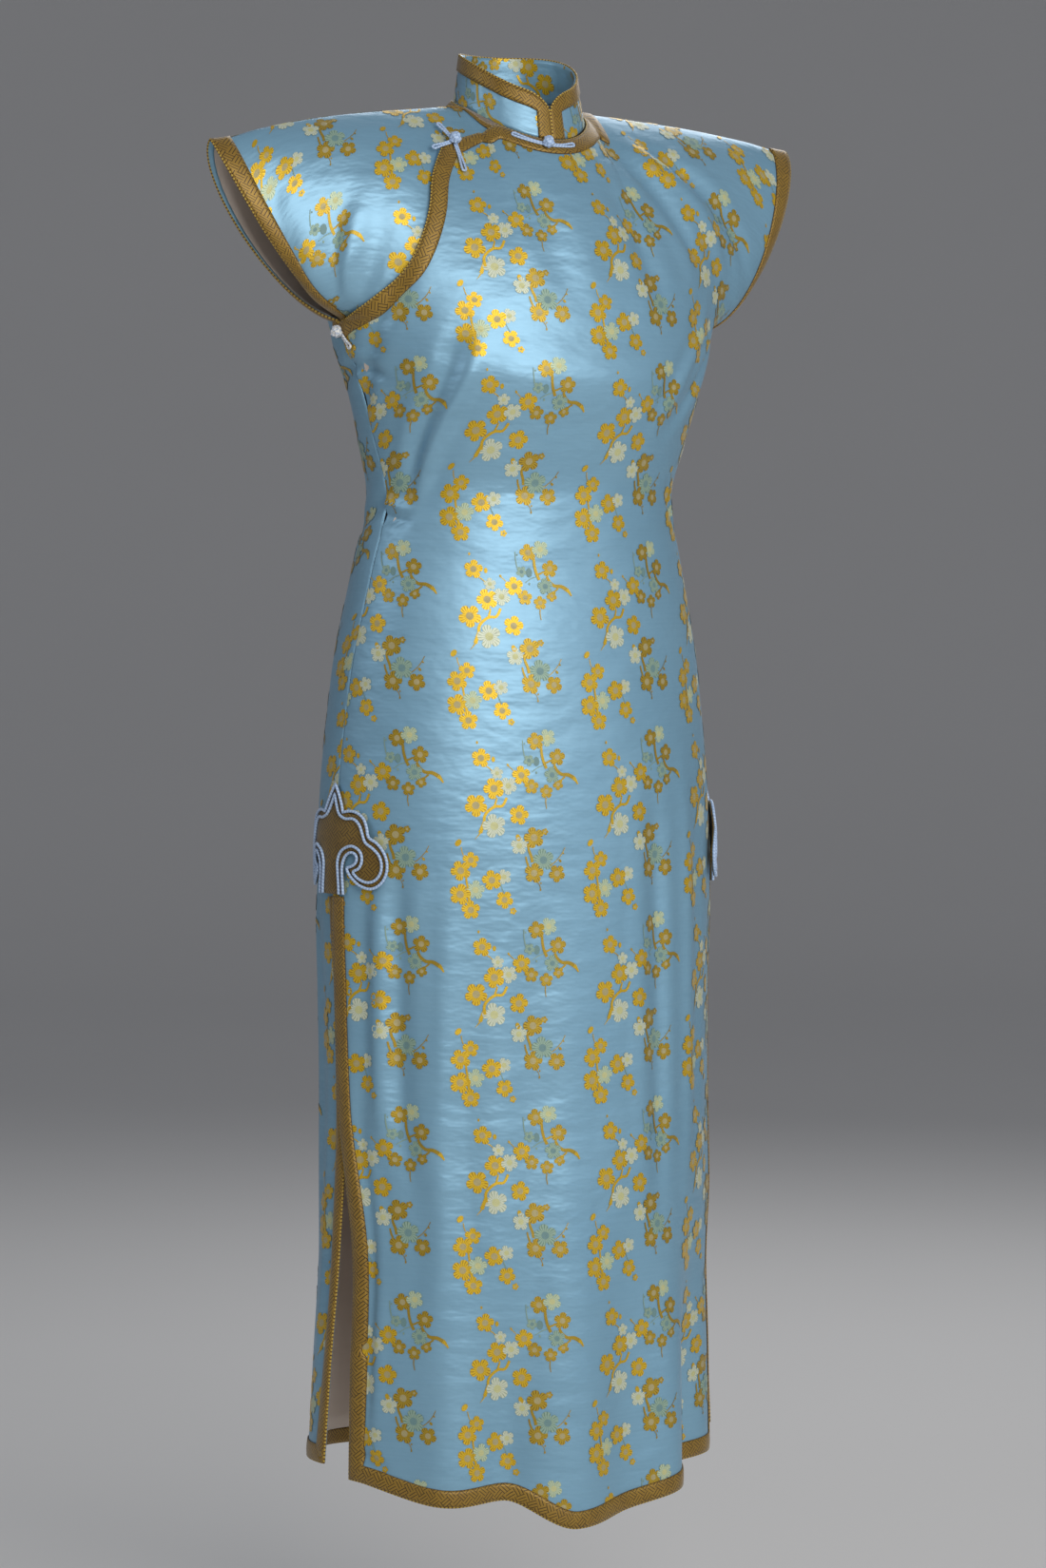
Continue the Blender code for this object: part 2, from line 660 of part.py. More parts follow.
def sleeve_binding(name, front_cells, back_cells):
    """Strip round a sleeve's mouth, over the front's cells and the back's, folded over the seam."""
    mesh_maker = bmesh.new()
    ridges = []
    for flip, (columns, cell, first, last) in ((False, front_cells), (True, back_cells)):
        normals = grid_normals(columns, flip)
        verts = {}
        for i in (cell, cell + 1):
            for j in range(first, last + 1):
                verts[i, j] = mesh_maker.verts.new(columns[i][j] + normals[i, j] * SEAM_GAP)
        for j in range(first, last):
            face = [verts[cell, j], verts[cell + 1, j], verts[cell + 1, j + 1], verts[cell, j + 1]]
            mesh_maker.faces.new(reversed(face) if flip else face)
        ridges.append([verts[cell, last], verts[cell + 1, last]])
    for pair in zip(*ridges):
        middle = (pair[0].co + pair[1].co) / 2 + Vector((0.0, 0.0, SEAM_GAP))
        bmesh.ops.pointmerge(mesh_maker, verts=list(pair), merge_co=middle)
    finish_sheet(name, mesh_maker, BINDING, "gold_brocade", False)


# Lining, hung inside the panels on their own points
def build_lining(name, columns, first, sewn_row, flip=False):
    """Sheet inside a panel, sewn along its sides and its top row and free at its lower edge."""
    normals = grid_normals(columns, flip)
    inner = range(1, len(columns) - 1)
    points = []
    for i, column in enumerate(columns):
        points.append([])
        for j in range(len(column)):
            point = None
            if i in inner and first <= j <= sewn_row(i):
                sewn = i in (inner[0], inner[-1]) or j == sewn_row(i)
                inset = CLOTH + (SEAM_GAP if sewn else LINING_INSET)
                point = column[j] - normals[i, j] * inset
            points[-1].append(point)
    sheet(name, points, LINING, "lining_silk", flip=flip)


def build_linings(front, under, back):
    build_lining("lining_front", front, 1, lambda i: BAND_ROW - (3 if i <= NECK_JOIN else 2))
    build_lining("lining_back", back, 1, lambda i: BAND_ROW - 2, flip=True)
    build_lining("lining_right", under[:UNDER_COLUMNS.index(-NECK_SHARE) + 1], 3,
                 lambda i: UNDER_ROW - 2)


# Collar
def collar_share(angle):
    """Share of the full height: the front corners are cut round."""
    run = abs(angle) * 0.060
    return 0.52 + 0.48 * math.sqrt(max(0.0, 1.0 - (1.0 - min(1.0, run / COLLAR_CORNER)) ** 2))


def collar_point(angle, height):
    """Point of the collar, the angle from the centre front, height 0 seam to 1 rim."""
    seam = neck_point(angle)
    inset = 1.0 - COLLAR_INSET / NECK_HALF
    low = Vector((seam.x * inset, seam.y * inset, seam.z + COLLAR_RAISE))
    rim = Vector((0.052 * math.sin(angle), -0.003 - 0.053 * math.cos(angle), seam.z + COLLAR_HEIGHT))
    return low.lerp(rim, height * collar_share(angle))


def build_collar():
    start = 0.5 * 0.0005 / 0.060
    edge = BINDING_WIDTH / 0.064
    steps = [start, edge * 0.5, edge, edge * 1.6]
    around = 26
    inner = [edge * 1.6 + (2 * math.pi - edge * 3.2) * k / around for k in range(1, around)]
    angles = steps + inner + [2 * math.pi - step for step in reversed(steps)]
    columns = []
    for angle in angles:
        turned = angle if angle <= math.pi else angle - 2 * math.pi
        rim_row = 1.0 - BINDING_WIDTH / (COLLAR_HEIGHT * collar_share(turned))
        columns.append([collar_point(turned, h) for h in (0.0, rim_row * 0.5, rim_row, 1.0)])
    sheet("collar", columns, COLLAR_THICK, "satin")
    count = len(columns)
    strip("collar_binding", columns, lambda i, j: j == 2 or i < 2 or i >= count - 3)


# Cloud appliques and their piping
def cloud_point(side, across, drop, out):
    """Point over the side seam, `across` measured forwards from the seam."""
    edge = read(SECTIONS, drop, FRONT_EDGE)
    angle = math.radians(edge)
    wide = read(SECTIONS, drop, FRONT_HALF)
    turn = across / read(SECTIONS, drop, FRONT_DEPTH)
    for _pass in range(3):
        middle = angle - turn * 0.5
        deep = read(SECTIONS, drop, FRONT_DEPTH if middle < math.pi / 2 else BACK_DEPTH)
        turn = across / math.hypot(wide * math.cos(middle), deep * math.sin(middle))
    angle -= turn
    deep = read(SECTIONS, drop, FRONT_DEPTH if angle < math.pi / 2 else BACK_DEPTH)
    lap = SLIT_LAP * lap_share(drop) * ease((0.050 + across) / 0.030)
    reach = out + lap
    point = Vector((wide * math.sin(angle), -deep * math.cos(angle), 0.0))
    normal = Vector((math.sin(angle) / wide, -math.cos(angle) / deep, 0.0)).normalized()
    point += normal * reach
    return Vector((side * point.x, point.y - read(SECTIONS, drop, SHIFT), -drop))


def cloud_path(table):
    """Both halves of a path that starts at the cloud's tip, from one stem foot to the other."""
    half = [(across, down) for _name, across, down in table]
    return half[:0:-1] + [(-across, down) for across, down in half]


def cloud_sheet(name, side):
    """The cloth of a cloud: its outline filled with small triangles that follow the panels."""
    outline = cloud_path(CLOUD_OUTER)
    foot = outline[0]
    steps = math.ceil(2 * foot[0] / CLOUD_CELL)
    outline += [(foot[0] * (2 * k / steps - 1), foot[1]) for k in range(1, steps)]
    grid = []
    for i in range(-7, 8):
        for j in range(1, 12):
            place = (i * CLOUD_CELL, j * CLOUD_CELL)
            if min(math.dist(place, corner) for corner in outline) > CLOUD_CELL / 2:
                grid.append(place)
    edges = [(k, (k + 1) % len(outline)) for k in range(len(outline))]
    flat = [Vector(place) for place in outline + grid]
    filled = delaunay_2d_cdt(flat, edges, [], 1, 1e-6)
    mesh_maker = bmesh.new()
    verts = {}
    for triangle in filled[2]:
        for k in triangle:
            if k not in verts:
                across, down = filled[0][k]
                verts[k] = mesh_maker.verts.new(cloud_point(side, across, CLOUD_TOP + down, CLOUD_LIFT))
        corners = [verts[k] for k in triangle]
        mesh_maker.faces.new(reversed(corners) if side < 0 else corners)
    finish_sheet(name, mesh_maker, BINDING, "gold_brocade", False)


def build_cloud(name, side):
    cloud_sheet(name, side)
    out = CLOUD_LIFT + BINDING + SEAM_GAP + PIPING / 2
    for cord, table in (("outer", CLOUD_OUTER), ("inner", CLOUD_INNER)):
        path = [cloud_point(side, across, CLOUD_TOP + down, out) for across, down in cloud_path(table)]
        tube(f"{name}_{cord}_cord", path, PIPING)


# Cords and knots
def tube(name, points, diameter):
    curve = bpy.data.curves.new(name, "CURVE")
    curve.dimensions = "3D"
    curve.bevel_depth = diameter / 2
    curve.bevel_resolution = 1
    curve.use_fill_caps = True
    spline = curve.splines.new("POLY")
    spline.points.add(len(points) - 1)
    for place, point in zip(spline.points, points):
        place.co = (*point, 1.0)
    curve.materials.append(make_material(name, "piping_cord"))
    piece = bpy.data.objects.new(name, curve)
    PARTS.objects.link(piece)


def build_knot(name, centre):
    mesh_maker = bmesh.new()
    bmesh.ops.create_uvsphere(mesh_maker, u_segments=12, v_segments=8, radius=FROG_KNOT)
    mesh = bpy.data.meshes.new(name)
    mesh_maker.to_mesh(mesh)
    mesh_maker.free()
    mesh.shade_smooth()
    mesh.materials.append(make_material(name, "piping_cord"))
    piece = bpy.data.objects.new(name, mesh)
    piece.location = centre
    PARTS.objects.link(piece)


def build_arm(name, knot, end, out):
    """Cord laid out from beside the knot to the end and back, as two strands and a bend."""
    length = (moved("front", *end, out) - moved("front", *knot, out)).length
    near = (FROG_KNOT - FROG_CORD * 0.1) / length
    centres = []
    for t in (near, (near + 1) / 2, 1.0):
        share = knot[0] + (end[0] - knot[0]) * t
        level = knot[1] + (end[1] - knot[1]) * t
        centres.append((moved("front", share, level, out), cloth_normal("front", share, level)))
    along = (centres[-1][0] - centres[-2][0]).normalized()
    strands = []
    for k, (centre, normal) in enumerate(centres):
        half = FROG_CORD * (0.60 + 0.12 * k)
        strands.append((centre, along.cross(normal).normalized() * half))
    last, side = strands[-1]
    bend = [last + side * math.cos(math.radians(turn)) + along * side.length * math.sin(math.radians(turn))
            for turn in (45, 90, 135)]
    path = [centre + half for centre, half in strands] + bend
    path += [centre - half for centre, half in reversed(strands)]
    tube(name, path, FROG_CORD)


def build_frogs():
    under = SEAM_GAP + BINDING + FROG_LIFT
    for frog, share, level, sink in FROG_KNOTS:
        build_knot(f"{frog}_knot", moved("front", share, level, under + FROG_KNOT - sink))
        for of_frog, arm, end_share, end_level in FROG_ARMS:
            if of_frog == frog:
                build_arm(f"{frog}_{arm}", (share, level), (end_share, end_level), under + FROG_CORD / 2)


def build():
    clear_scene()
    front, under, back = build_panels()
    build_edge_bindings(front, under, back)
    build_linings(front, under, back)
    build_collar()
    build_cloud("cloud_right", -1)
    build_cloud("cloud_left", 1)
    build_frogs()


PARTS = make_collection("cheongsam_dress")
build()
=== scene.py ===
"""Dresses the cheongsam's solids in silk, brocade and cord, seen from the photograph's angle.

Every piece of cloth here follows the same section tables as its solid, on a finer grid and
with the creases of worn silk, so each lies on its solid's form.
"""
import math

import bmesh
import bpy
import numpy as np
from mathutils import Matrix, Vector
from mathutils.bvhtree import BVHTree
from mathutils.geometry import delaunay_2d_cdt


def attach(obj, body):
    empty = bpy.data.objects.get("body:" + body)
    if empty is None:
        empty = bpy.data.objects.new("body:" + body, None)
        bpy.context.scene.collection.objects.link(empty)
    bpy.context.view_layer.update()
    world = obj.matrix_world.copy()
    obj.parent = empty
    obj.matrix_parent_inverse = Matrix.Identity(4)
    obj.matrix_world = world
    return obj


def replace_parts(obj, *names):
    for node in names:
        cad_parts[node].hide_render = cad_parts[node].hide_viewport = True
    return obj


# Driving sizes
UNDERARM_DROP = 0.193
SEAM_SHIFT = 0.0004
LINING = 0.0010
LINING_INSET = 0.0045
BINDING = 0.0010
BINDING_WIDTH = 0.0145
UNDER_DEPTH = 0.0036
SLIT_LAP = 0.0038
NECK_HALF = 0.060
NECK_SHARE = 0.25
NECK_BAND_LEVEL = 0.072
COLLAR_HEIGHT = 0.042
COLLAR_THICK = 0.0018
COLLAR_CORNER = 0.026
COLLAR_INSET = 0.0016
COLLAR_RAISE = 0.0016
PIPING = 0.0026
FROG_CORD = 0.0021
FROG_KNOT = 0.0052
FROG_LIFT = 0.0003
CHECK_STEP = 0.001
# Metres to one level below the underarm, and a binding's width in levels. Level 1 is the
# underarm, and level 2 the shoulder line or the neck seam.
CHEST_RISE = 0.20
BAND_LEVEL = BINDING_WIDTH / CHEST_RISE

# Body sections: name, drop below the neck point, half width in front and behind, depth in
# front and behind, forward shift, and the angle in degrees from the centre front where the
# front panel ends and where the back panel begins.
SECTIONS = (
    ("underarm", 0.193, 0.187, 0.187, 0.124, 0.104, 0.008, 88.0, 88.0),
    ("bust", 0.240, 0.173, 0.173, 0.130, 0.100, 0.010, 86.0, 86.0),
    ("under bust", 0.298, 0.158, 0.158, 0.114, 0.093, 0.008, 83.0, 83.0),
    ("waist", 0.348, 0.1478, 0.1478, 0.100, 0.096, 0.006, 80.0, 80.0),
    ("high hip", 0.416, 0.1614, 0.1614, 0.105, 0.109, 0.004, 81.0, 81.0),
    ("tummy", 0.511, 0.1786, 0.1786, 0.115, 0.126, 0.002, 84.0, 84.0),
    ("hip", 0.649, 0.190, 0.190, 0.122, 0.131, 0.000, 85.0, 85.0),
    ("slit top", 0.720, 0.190, 0.190, 0.122, 0.130, 0.000, 85.0, 82.5),
    ("thigh", 0.783, 0.188, 0.188, 0.122, 0.129, 0.000, 85.0, 81.0),
    ("slit parts", 0.883, 0.187, 0.187, 0.122, 0.127, 0.000, 83.5, 80.5),
    ("knee", 1.013, 0.186, 0.190, 0.125, 0.130, 0.000, 77.0, 83.0),
    ("calf", 1.135, 0.190, 0.198, 0.125, 0.130, 0.000, 77.0, 85.0),
    ("hem", 1.250, 0.192, 0.204, 0.125, 0.130, 0.000, 77.0, 86.0),
)
(FRONT_HALF, BACK_HALF, FRONT_DEPTH, BACK_DEPTH, SHIFT, FRONT_EDGE, BACK_EDGE) = range(2, 9)

# Folds of the skirt: name, half, angle from the centre front, spread in degrees, depth
# outwards, drop where it starts and drop where it is full.
FOLDS = (
    ("left slit valley", "front", 50.0, 11.0, -0.026, 0.96, 1.22),
    ("left ridge", "front", 31.0, 9.0, 0.009, 0.94, 1.20),
    ("left of centre valley", "front", 13.0, 8.0, -0.004, 1.00, 1.20),
    ("centre ridge", "front", -4.0, 11.0, 0.008, 0.85, 1.20),
    ("right valley", "front", -24.0, 8.0, -0.010, 1.00, 1.20),
    ("right ridge", "front", -41.0, 9.0, 0.006, 0.95, 1.20),
    ("back right valley", "back", -146.0, 10.0, -0.012, 0.95, 1.20),
    ("back right ridge", "back", -166.0, 10.0, 0.009, 0.90, 1.20),
    ("back middle valley", "back", 176.0, 9.0, -0.008, 0.98, 1.20),
    ("back left ridge", "back", 158.0, 10.0, 0.009, 0.92, 1.20),
    ("back left valley", "back", 138.0, 10.0, -0.013, 0.95, 1.20),
)

# Hem: name, degrees from the centre front on the front, or along the back from right to
# left, and the drop of the hem there.
FRONT_HEM = (
    ("right corner", -77.0, 1.217),
    ("right ridge", -38.0, 1.236),
    ("right valley", -24.0, 1.233),
    ("centre ridge", -4.0, 1.260),
    ("left valley", 15.0, 1.250),
    ("left ridge", 34.0, 1.238),
    ("left slit valley", 55.0, 1.225),
    ("left corner", 77.0, 1.221),
)
BACK_HEM = (
    ("right corner", 0.0, 1.2045),
    ("right ridge", 25.0, 1.206),
    ("middle", 90.0, 1.212),
    ("left ridge", 155.0, 1.206),
    ("left corner", 180.0, 1.2045),
)

# Shoulder line: name, share of the way from the neck to the sleeve tip, fall.
SHOULDER = (
    ("neck", 0.0, 0.000),
    ("inner", 0.25, 0.006),
    ("middle", 0.5, 0.014),
    ("outer", 0.8, 0.030),
    ("tip", 1.0, 0.044),
)
SLEEVE_TIP = {-1: (-0.306, 0.0, -0.040), 1: (0.288, 0.0, -0.024)}
FRONT_SWEEP = 77.0
# Neck seam: how far it lies forward, its half depth, its fall in front and its further dip.
NECK_FORWARD = 0.005
NECK_DEPTH = 0.061
NECK_FALL = 0.021
NECK_DIP = 0.011
# Above the underarm: where the sleeve's mouth starts, and the directions in which the cloth
# leaves the underarm and reaches the neck, the shoulder and the sleeve's mouth.
MOUTH_SHARE = 0.62
BELOW_STEP = 0.02
MOUTH_START = (0.16, 0.07, 0.04)
NECK_ENDS = {"front": (0.0, 0.10, 0.13), "back": (0.0, -0.10, 0.05)}
SHOULDER_END = (0.16, 0.06)
MOUTH_END = (0.10, 0.07)
# Drops where the front's slit edge starts to lie over the back's, and where it stops.
LAP_START = 0.61
LAP_RUN = 0.05
LAP_END = 0.96
LAP_FADE = 0.10
LAP_SHARE = 0.80
# Collar's rim: its half width, how far it lies forward and its half depth, and the share of
# the height that is left at its front corners.
RIM_HALF = 0.052
RIM_FORWARD = 0.003
RIM_DEPTH = 0.053
CORNER_SHARE = 0.52

# The outer front's columns: where each stands low on the skirt, and where it ends on the
# curved flap edge, the neck edge or the shoulder (share across, level up).
FRONT_COLUMNS = (
    ("right seam", -1.0, -1.0, 0.982),
    ("slit binding", -0.944, -0.944, 1.01),
    ("flap 1", -0.86, -0.855, 1.055),
    ("flap 2", -0.77, -0.76, 1.095),
    ("flap 3", -0.68, -0.66, 1.15),
    ("flap 4", -0.59, -0.58, 1.22),
    ("flap 5", -0.50, -0.515, 1.32),
    ("flap 6", -0.42, -0.465, 1.44),
    ("flap 7", -0.36, -0.43, 1.575),
    ("flap corner", -0.30, -0.37, 1.715),
    ("neck edge", -0.235, -0.24, 1.775),
    ("neck joins", -0.155, -0.125, 2.0),
    ("neck 2", -0.080, -0.0625, 2.0),
    ("neck front", 0.0, 0.0, 2.0),
    ("neck 4", 0.070, 0.0625, 2.0),
    ("neck 5", 0.140, 0.125, 2.0),
    ("neck 6", 0.210, 0.1875, 2.0),
    ("neck point", 0.285, 0.25, 2.0),
    ("shoulder 1", 0.36, 0.36, 2.0),
    ("shoulder 2", 0.47, 0.47, 2.0),
    ("shoulder 3", 0.58, 0.58, 2.0),
    ("shoulder 4", 0.69, 0.69, 2.0),
    ("shoulder 5", 0.79, 0.79, 2.0),
    ("shoulder 6", 0.87, 0.87, 2.0),
    ("sleeve binding", 0.944, 0.944, 2.0),
    ("left seam", 1.0, 1.0, 2.0),
)
FLAP_CORNER = 9
NECK_POINT = 17
LEAN_FROM = -0.135

# Lower edge of the hidden right front: name, share across, level.
UNDER_EDGE = (
    ("side", -1.0, 0.855),
    ("sleeve binding", -0.944, 0.855),
    ("underarm", -0.8, 0.95),
    ("chest", -0.6, 1.08),
    ("flap middle", -0.45, 1.25),
    ("flap top", -0.33, 1.50),
    ("neck", -0.125, 1.72),
)
SLIT_LEVEL = -1.535

# Cloud applique over each slit's top, from its tip along the outer cord to the foot of its
# stem: name, metres across from the side seam, metres down from the tip.
CLOUD_TOP = 0.601
CLOUD_LIFT = 0.0014
CLOUD_OUTER = (
    ("tip", 0.0, 0.0),
    ("tip side", 0.0055, 0.0085),
    ("neck", 0.0100, 0.0175),
    ("notch", 0.0126, 0.0245),
    ("shoulder", 0.0205, 0.0232),
    ("shoulder top", 0.0285, 0.0248),
    ("shoulder side", 0.0352, 0.0297),
    ("waist", 0.0388, 0.0373),
    ("waist notch", 0.0412, 0.0456),
    ("lobe top", 0.0485, 0.0505),
    ("lobe side", 0.0545, 0.0580),
    ("lobe wide", 0.0576, 0.0670),
    ("lobe low", 0.0572, 0.0765),
    ("lobe foot", 0.0528, 0.0855),
    ("foot", 0.0440, 0.0908),
    ("foot in", 0.0335, 0.0885),
    ("hook side", 0.0248, 0.0815),
    ("hook end", 0.0206, 0.0755),
    ("hook tip", 0.0203, 0.0728),
    ("eye low", 0.0245, 0.0718),
    ("eye side", 0.0290, 0.0685),
    ("eye", 0.0302, 0.0637),
    ("eye top", 0.0275, 0.0600),
    ("eye in", 0.0228, 0.0598),
    ("stem top", 0.0178, 0.0638),
    ("stem", 0.0150, 0.0718),
    ("stem low", 0.0150, 0.0810),
    ("stem foot", 0.0156, 0.0900),
    ("foot seam", 0.0160, 0.0970),
)
CLOUD_INNER = (
    ("tip", 0.0, 0.0085),
    ("tip side", 0.0032, 0.0168),
    ("notch", 0.0085, 0.0262),
    ("shoulder", 0.0162, 0.0300),
    ("shoulder top", 0.0250, 0.0300),
    ("shoulder side", 0.0315, 0.0350),
    ("waist", 0.0350, 0.0428),
    ("waist notch", 0.0383, 0.0503),
    ("lobe top", 0.0450, 0.0552),
    ("lobe side", 0.0508, 0.0616),
    ("lobe wide", 0.0530, 0.0700),
    ("lobe low", 0.0516, 0.0777),
    ("lobe foot", 0.0468, 0.0835),
    ("foot", 0.0400, 0.0853),
    ("foot in", 0.0320, 0.0825),
    ("hook end", 0.0267, 0.0778),
    ("hook tip", 0.0272, 0.0758),
    ("eye low", 0.0318, 0.0735),
    ("eye side", 0.0350, 0.0672),
    ("eye", 0.0338, 0.0590),
    ("eye top", 0.0276, 0.0543),
    ("eye in", 0.0215, 0.0543),
    ("stem top", 0.0135, 0.0590),
    ("stem", 0.0098, 0.0675),
    ("stem low", 0.0100, 0.0775),
    ("stem foot", 0.0108, 0.0880),
    ("foot seam", 0.0112, 0.0970),
)

# Frog buttons: name, share across and level of the knot, and how far the hollow of the
# cloth there lets it in.
FROG_KNOTS = (
    ("neck_frog", -0.026, 1.955, 0.0009),
    ("flap_frog", -0.340, 1.718, 0.0),
    ("underarm_frog", -0.985, 0.955, 0.0006),
)
# Their arms: frog, name, share across and level of the far end.
FROG_ARMS = (
    ("neck_frog", "right_arm", -0.105, 1.955),
    ("neck_frog", "left_arm", 0.044, 1.952),
    ("flap_frog", "upper_arm", -0.365, 1.818),
    ("flap_frog", "lower_arm", -0.335, 1.585),
    ("flap_frog", "side_arm", -0.405, 1.695),
    ("underarm_frog", "arm", -0.955, 0.880),
)

# Fine sizes: half the girth that creases are measured on, the share across to one column of
# the front, the least gap that its columns are counted from, and the columns and rows of the
# other sheets. The linings then stop short of the sides, of the neck and of the silk.
HALF_GIRTH = 0.27
FINE_SHARE = 0.0135
FINE_GAP = 0.055
FRONT_ROWS = 208
BACK_COLUMNS = 132
BACK_ROWS = 190
UNDER_COLUMNS = 60
UNDER_ROWS = 64
LINING_COLUMNS = 56
LINING_ROWS = 90
LINING_SHARE = 0.985
LINING_TOP = 1.97
LINING_GAP = 0.0004
# Linings: name, half, last share across, CAD node and the silk each rests on.
LININGS = (
    ("front_lining", "front", LINING_SHARE, "lining_front", "front_silk"),
    ("back_lining", "back", LINING_SHARE, "lining_back", "back_silk"),
    ("right_lining", "front", -0.26, "lining_right", "right_front_silk"),
)
# The silk's wall, a binding's cells across, lift, fullness, rolled edge and seam, the steps
# along each kind of edge, and where a sleeve's band starts and how wide it is.
WALL = 0.0012
BAND_CELLS = 5
BAND_LIFT = 0.0004
BAND_PUFF = 0.0005
EDGE_ROLL = 0.0010
SEAM_LINE = 0.00035
BETWEEN_STEPS = 12
SLIT_STEPS = 100
HEM_STEPS = 110
SLEEVE_STEPS = 60
SLEEVE_START = 0.9275
SLEEVE_BAND = 0.056
# The motifs' lift off the silk, the step between those that overlap and how many steps there
# are, and the fret of the bindings.
MOTIF_LIFT = 0.00028
MOTIF_STEP = 0.00004
MOTIF_STEPS = 8
FRET_CELL = 0.0072
FRET_LINE = 0.0026
# The flat cut's table: places across and up, and the levels it reaches.
CUT_SHARES = 41
CUT_LEVELS = 100
CUT_LOW = -4.6
CUT_HIGH = 2.0

# Creases of the worn silk, each a soft trough or ridge between two places: name, half, share
# and level of one end, share and level of the other, half width, and depth outwards. All are
# deepened by the gain, run on by the tail past both ends, and fade where the neck is near.
CREASE_GAIN = 1.25
CREASE_TAIL = 0.4
CREASE_FADE = 0.6
CREASE_REACH = 3.0
CREASE_STILL = 1.86
CREASES = (
    ("underarm pucker", "front", -1.0, 0.811, -0.839, 0.763, 0.006, -0.0026),
    ("underarm ridge", "front", -1.0, 0.853, -0.85, 0.818, 0.006, 0.0020),
    ("waist pucker", "front", -1.0, 0.149, -0.829, 0.118, 0.006, -0.0022),
    ("waist ridge", "front", -1.0, 0.187, -0.859, 0.168, 0.006, 0.0016),
    ("bust drag", "front", -0.51, 0.82, -0.798, 0.352, 0.010, -0.0032),
    ("bust ridge", "front", -0.43, 0.812, -0.729, 0.318, 0.010, 0.0024),
    ("bust fold", "front", -0.634, 1.143, -1.0, 0.658, 0.009, -0.0022),
    ("shoulder fold 1", "front", 0.317, 1.646, 0.501, 1.322, 0.009, -0.0036),
    ("shoulder ridge", "front", 0.41, 1.681, 0.665, 1.34, 0.009, 0.0030),
    ("shoulder fold 2", "front", 0.475, 1.692, 0.805, 1.401, 0.008, -0.0030),
    ("chest fold", "front", 0.139, 1.616, 0.276, 1.163, 0.012, -0.0020),
    ("neck fold", "front", -0.108, 1.623, -0.084, 1.204, 0.016, -0.0015),
    ("hip ridge", "front", -0.76, -1.599, -0.782, -2.517, 0.011, 0.0030),
    ("hip valley", "front", -0.659, -1.555, -0.672, -2.554, 0.011, -0.0024),
    ("slit valley", "front", -0.885, -2.604, -0.903, -3.769, 0.009, -0.0025),
    ("skirt ridge", "front", -0.479, -1.762, -0.572, -3.131, 0.018, 0.0025),
    ("skirt valley", "front", -0.187, -1.976, -0.213, -3.432, 0.020, -0.0025),
    ("left side valley", "front", 0.294, -1.373, 0.332, -2.648, 0.013, -0.0030),
    ("left side ridge", "front", 0.476, -1.298, 0.523, -2.585, 0.012, 0.0022),
    ("left waist pucker", "front", 0.653, 0.244, 0.824, 0.072, 0.007, -0.0025),
    ("hem pucker", "front", -0.931, -4.0, -0.806, -4.061, 0.006, -0.0018),
    ("left underarm drag", "front", 0.808, 0.998, 0.506, 0.625, 0.009, -0.0032),
    ("left underarm ridge", "front", 0.563, 0.995, 0.379, 0.621, 0.009, 0.0022),
    ("sleeve trough", "front", -0.784, 1.443, -0.888, 1.197, 0.010, -0.0030),
    ("sleeve ridge", "front", -0.675, 1.477, -0.825, 1.178, 0.010, 0.0020),
    ("sleeve fold", "front", -0.91, 1.682, -1.0, 1.268, 0.010, -0.0020),
    ("tummy line", "front", -0.703, -0.1, 0.145, -0.117, 0.026, -0.0012),
    ("back right pucker", "back", -1.0, 0.80, -0.82, 0.74, 0.006, -0.0024),
    ("back left pucker", "back", 0.99, 0.76, 0.80, 0.69, 0.007, -0.0022),
    ("back right waist", "back", -0.98, 0.20, -0.72, 0.10, 0.008, -0.0024),
    ("back left waist", "back", 0.97, 0.12, 0.69, 0.17, 0.009, -0.0025),
    ("back waist line", "back", -0.42, 0.17, 0.36, 0.12, 0.020, -0.0020),
    ("back right shoulder", "back", -0.36, 1.70, -0.60, 1.25, 0.010, -0.0030),
    ("back right blade", "back", -0.48, 1.66, -0.75, 1.18, 0.010, 0.0024),
    ("back left shoulder", "back", 0.40, 1.66, 0.66, 1.20, 0.011, -0.0028),
    ("back left blade", "back", 0.50, 1.72, 0.84, 1.33, 0.009, 0.0024),
    ("back right drag", "back", -0.84, 1.02, -0.50, 0.58, 0.010, -0.0026),
    ("back left drag", "back", 0.80, 0.96, 0.42, 0.60, 0.011, -0.0028),
    ("back seat valley", "back", -0.28, -1.42, -0.35, -2.75, 0.018, -0.0030),
    ("back seat ridge", "back", 0.08, -1.60, 0.12, -3.05, 0.019, 0.0026),
    ("back left fall", "back", 0.52, -1.50, 0.58, -2.90, 0.014, -0.0028),
    ("back right fall", "back", -0.70, -1.65, -0.74, -2.80, 0.012, 0.0026),
    ("back slit valley", "back", -0.90, -2.50, -0.92, -3.65, 0.010, -0.0022),
    ("back left slit valley", "back", 0.88, -2.40, 0.91, -3.70, 0.010, -0.0024),
)

# Brocade repeat: its size in metres, where its first plum spray stands on the front, and the
# middle of each spray in millimetres.
REPEAT = (0.1234, 0.166)
SPRAY_START = (-0.082, -0.092)
SPRAY_PLACES = (
    ("plum", 0.0, 0.0),
    ("low plum", -19.5, -70.0),
    ("drooping", 47.0, 34.0),
    ("hanging", 38.0, -54.6),
)
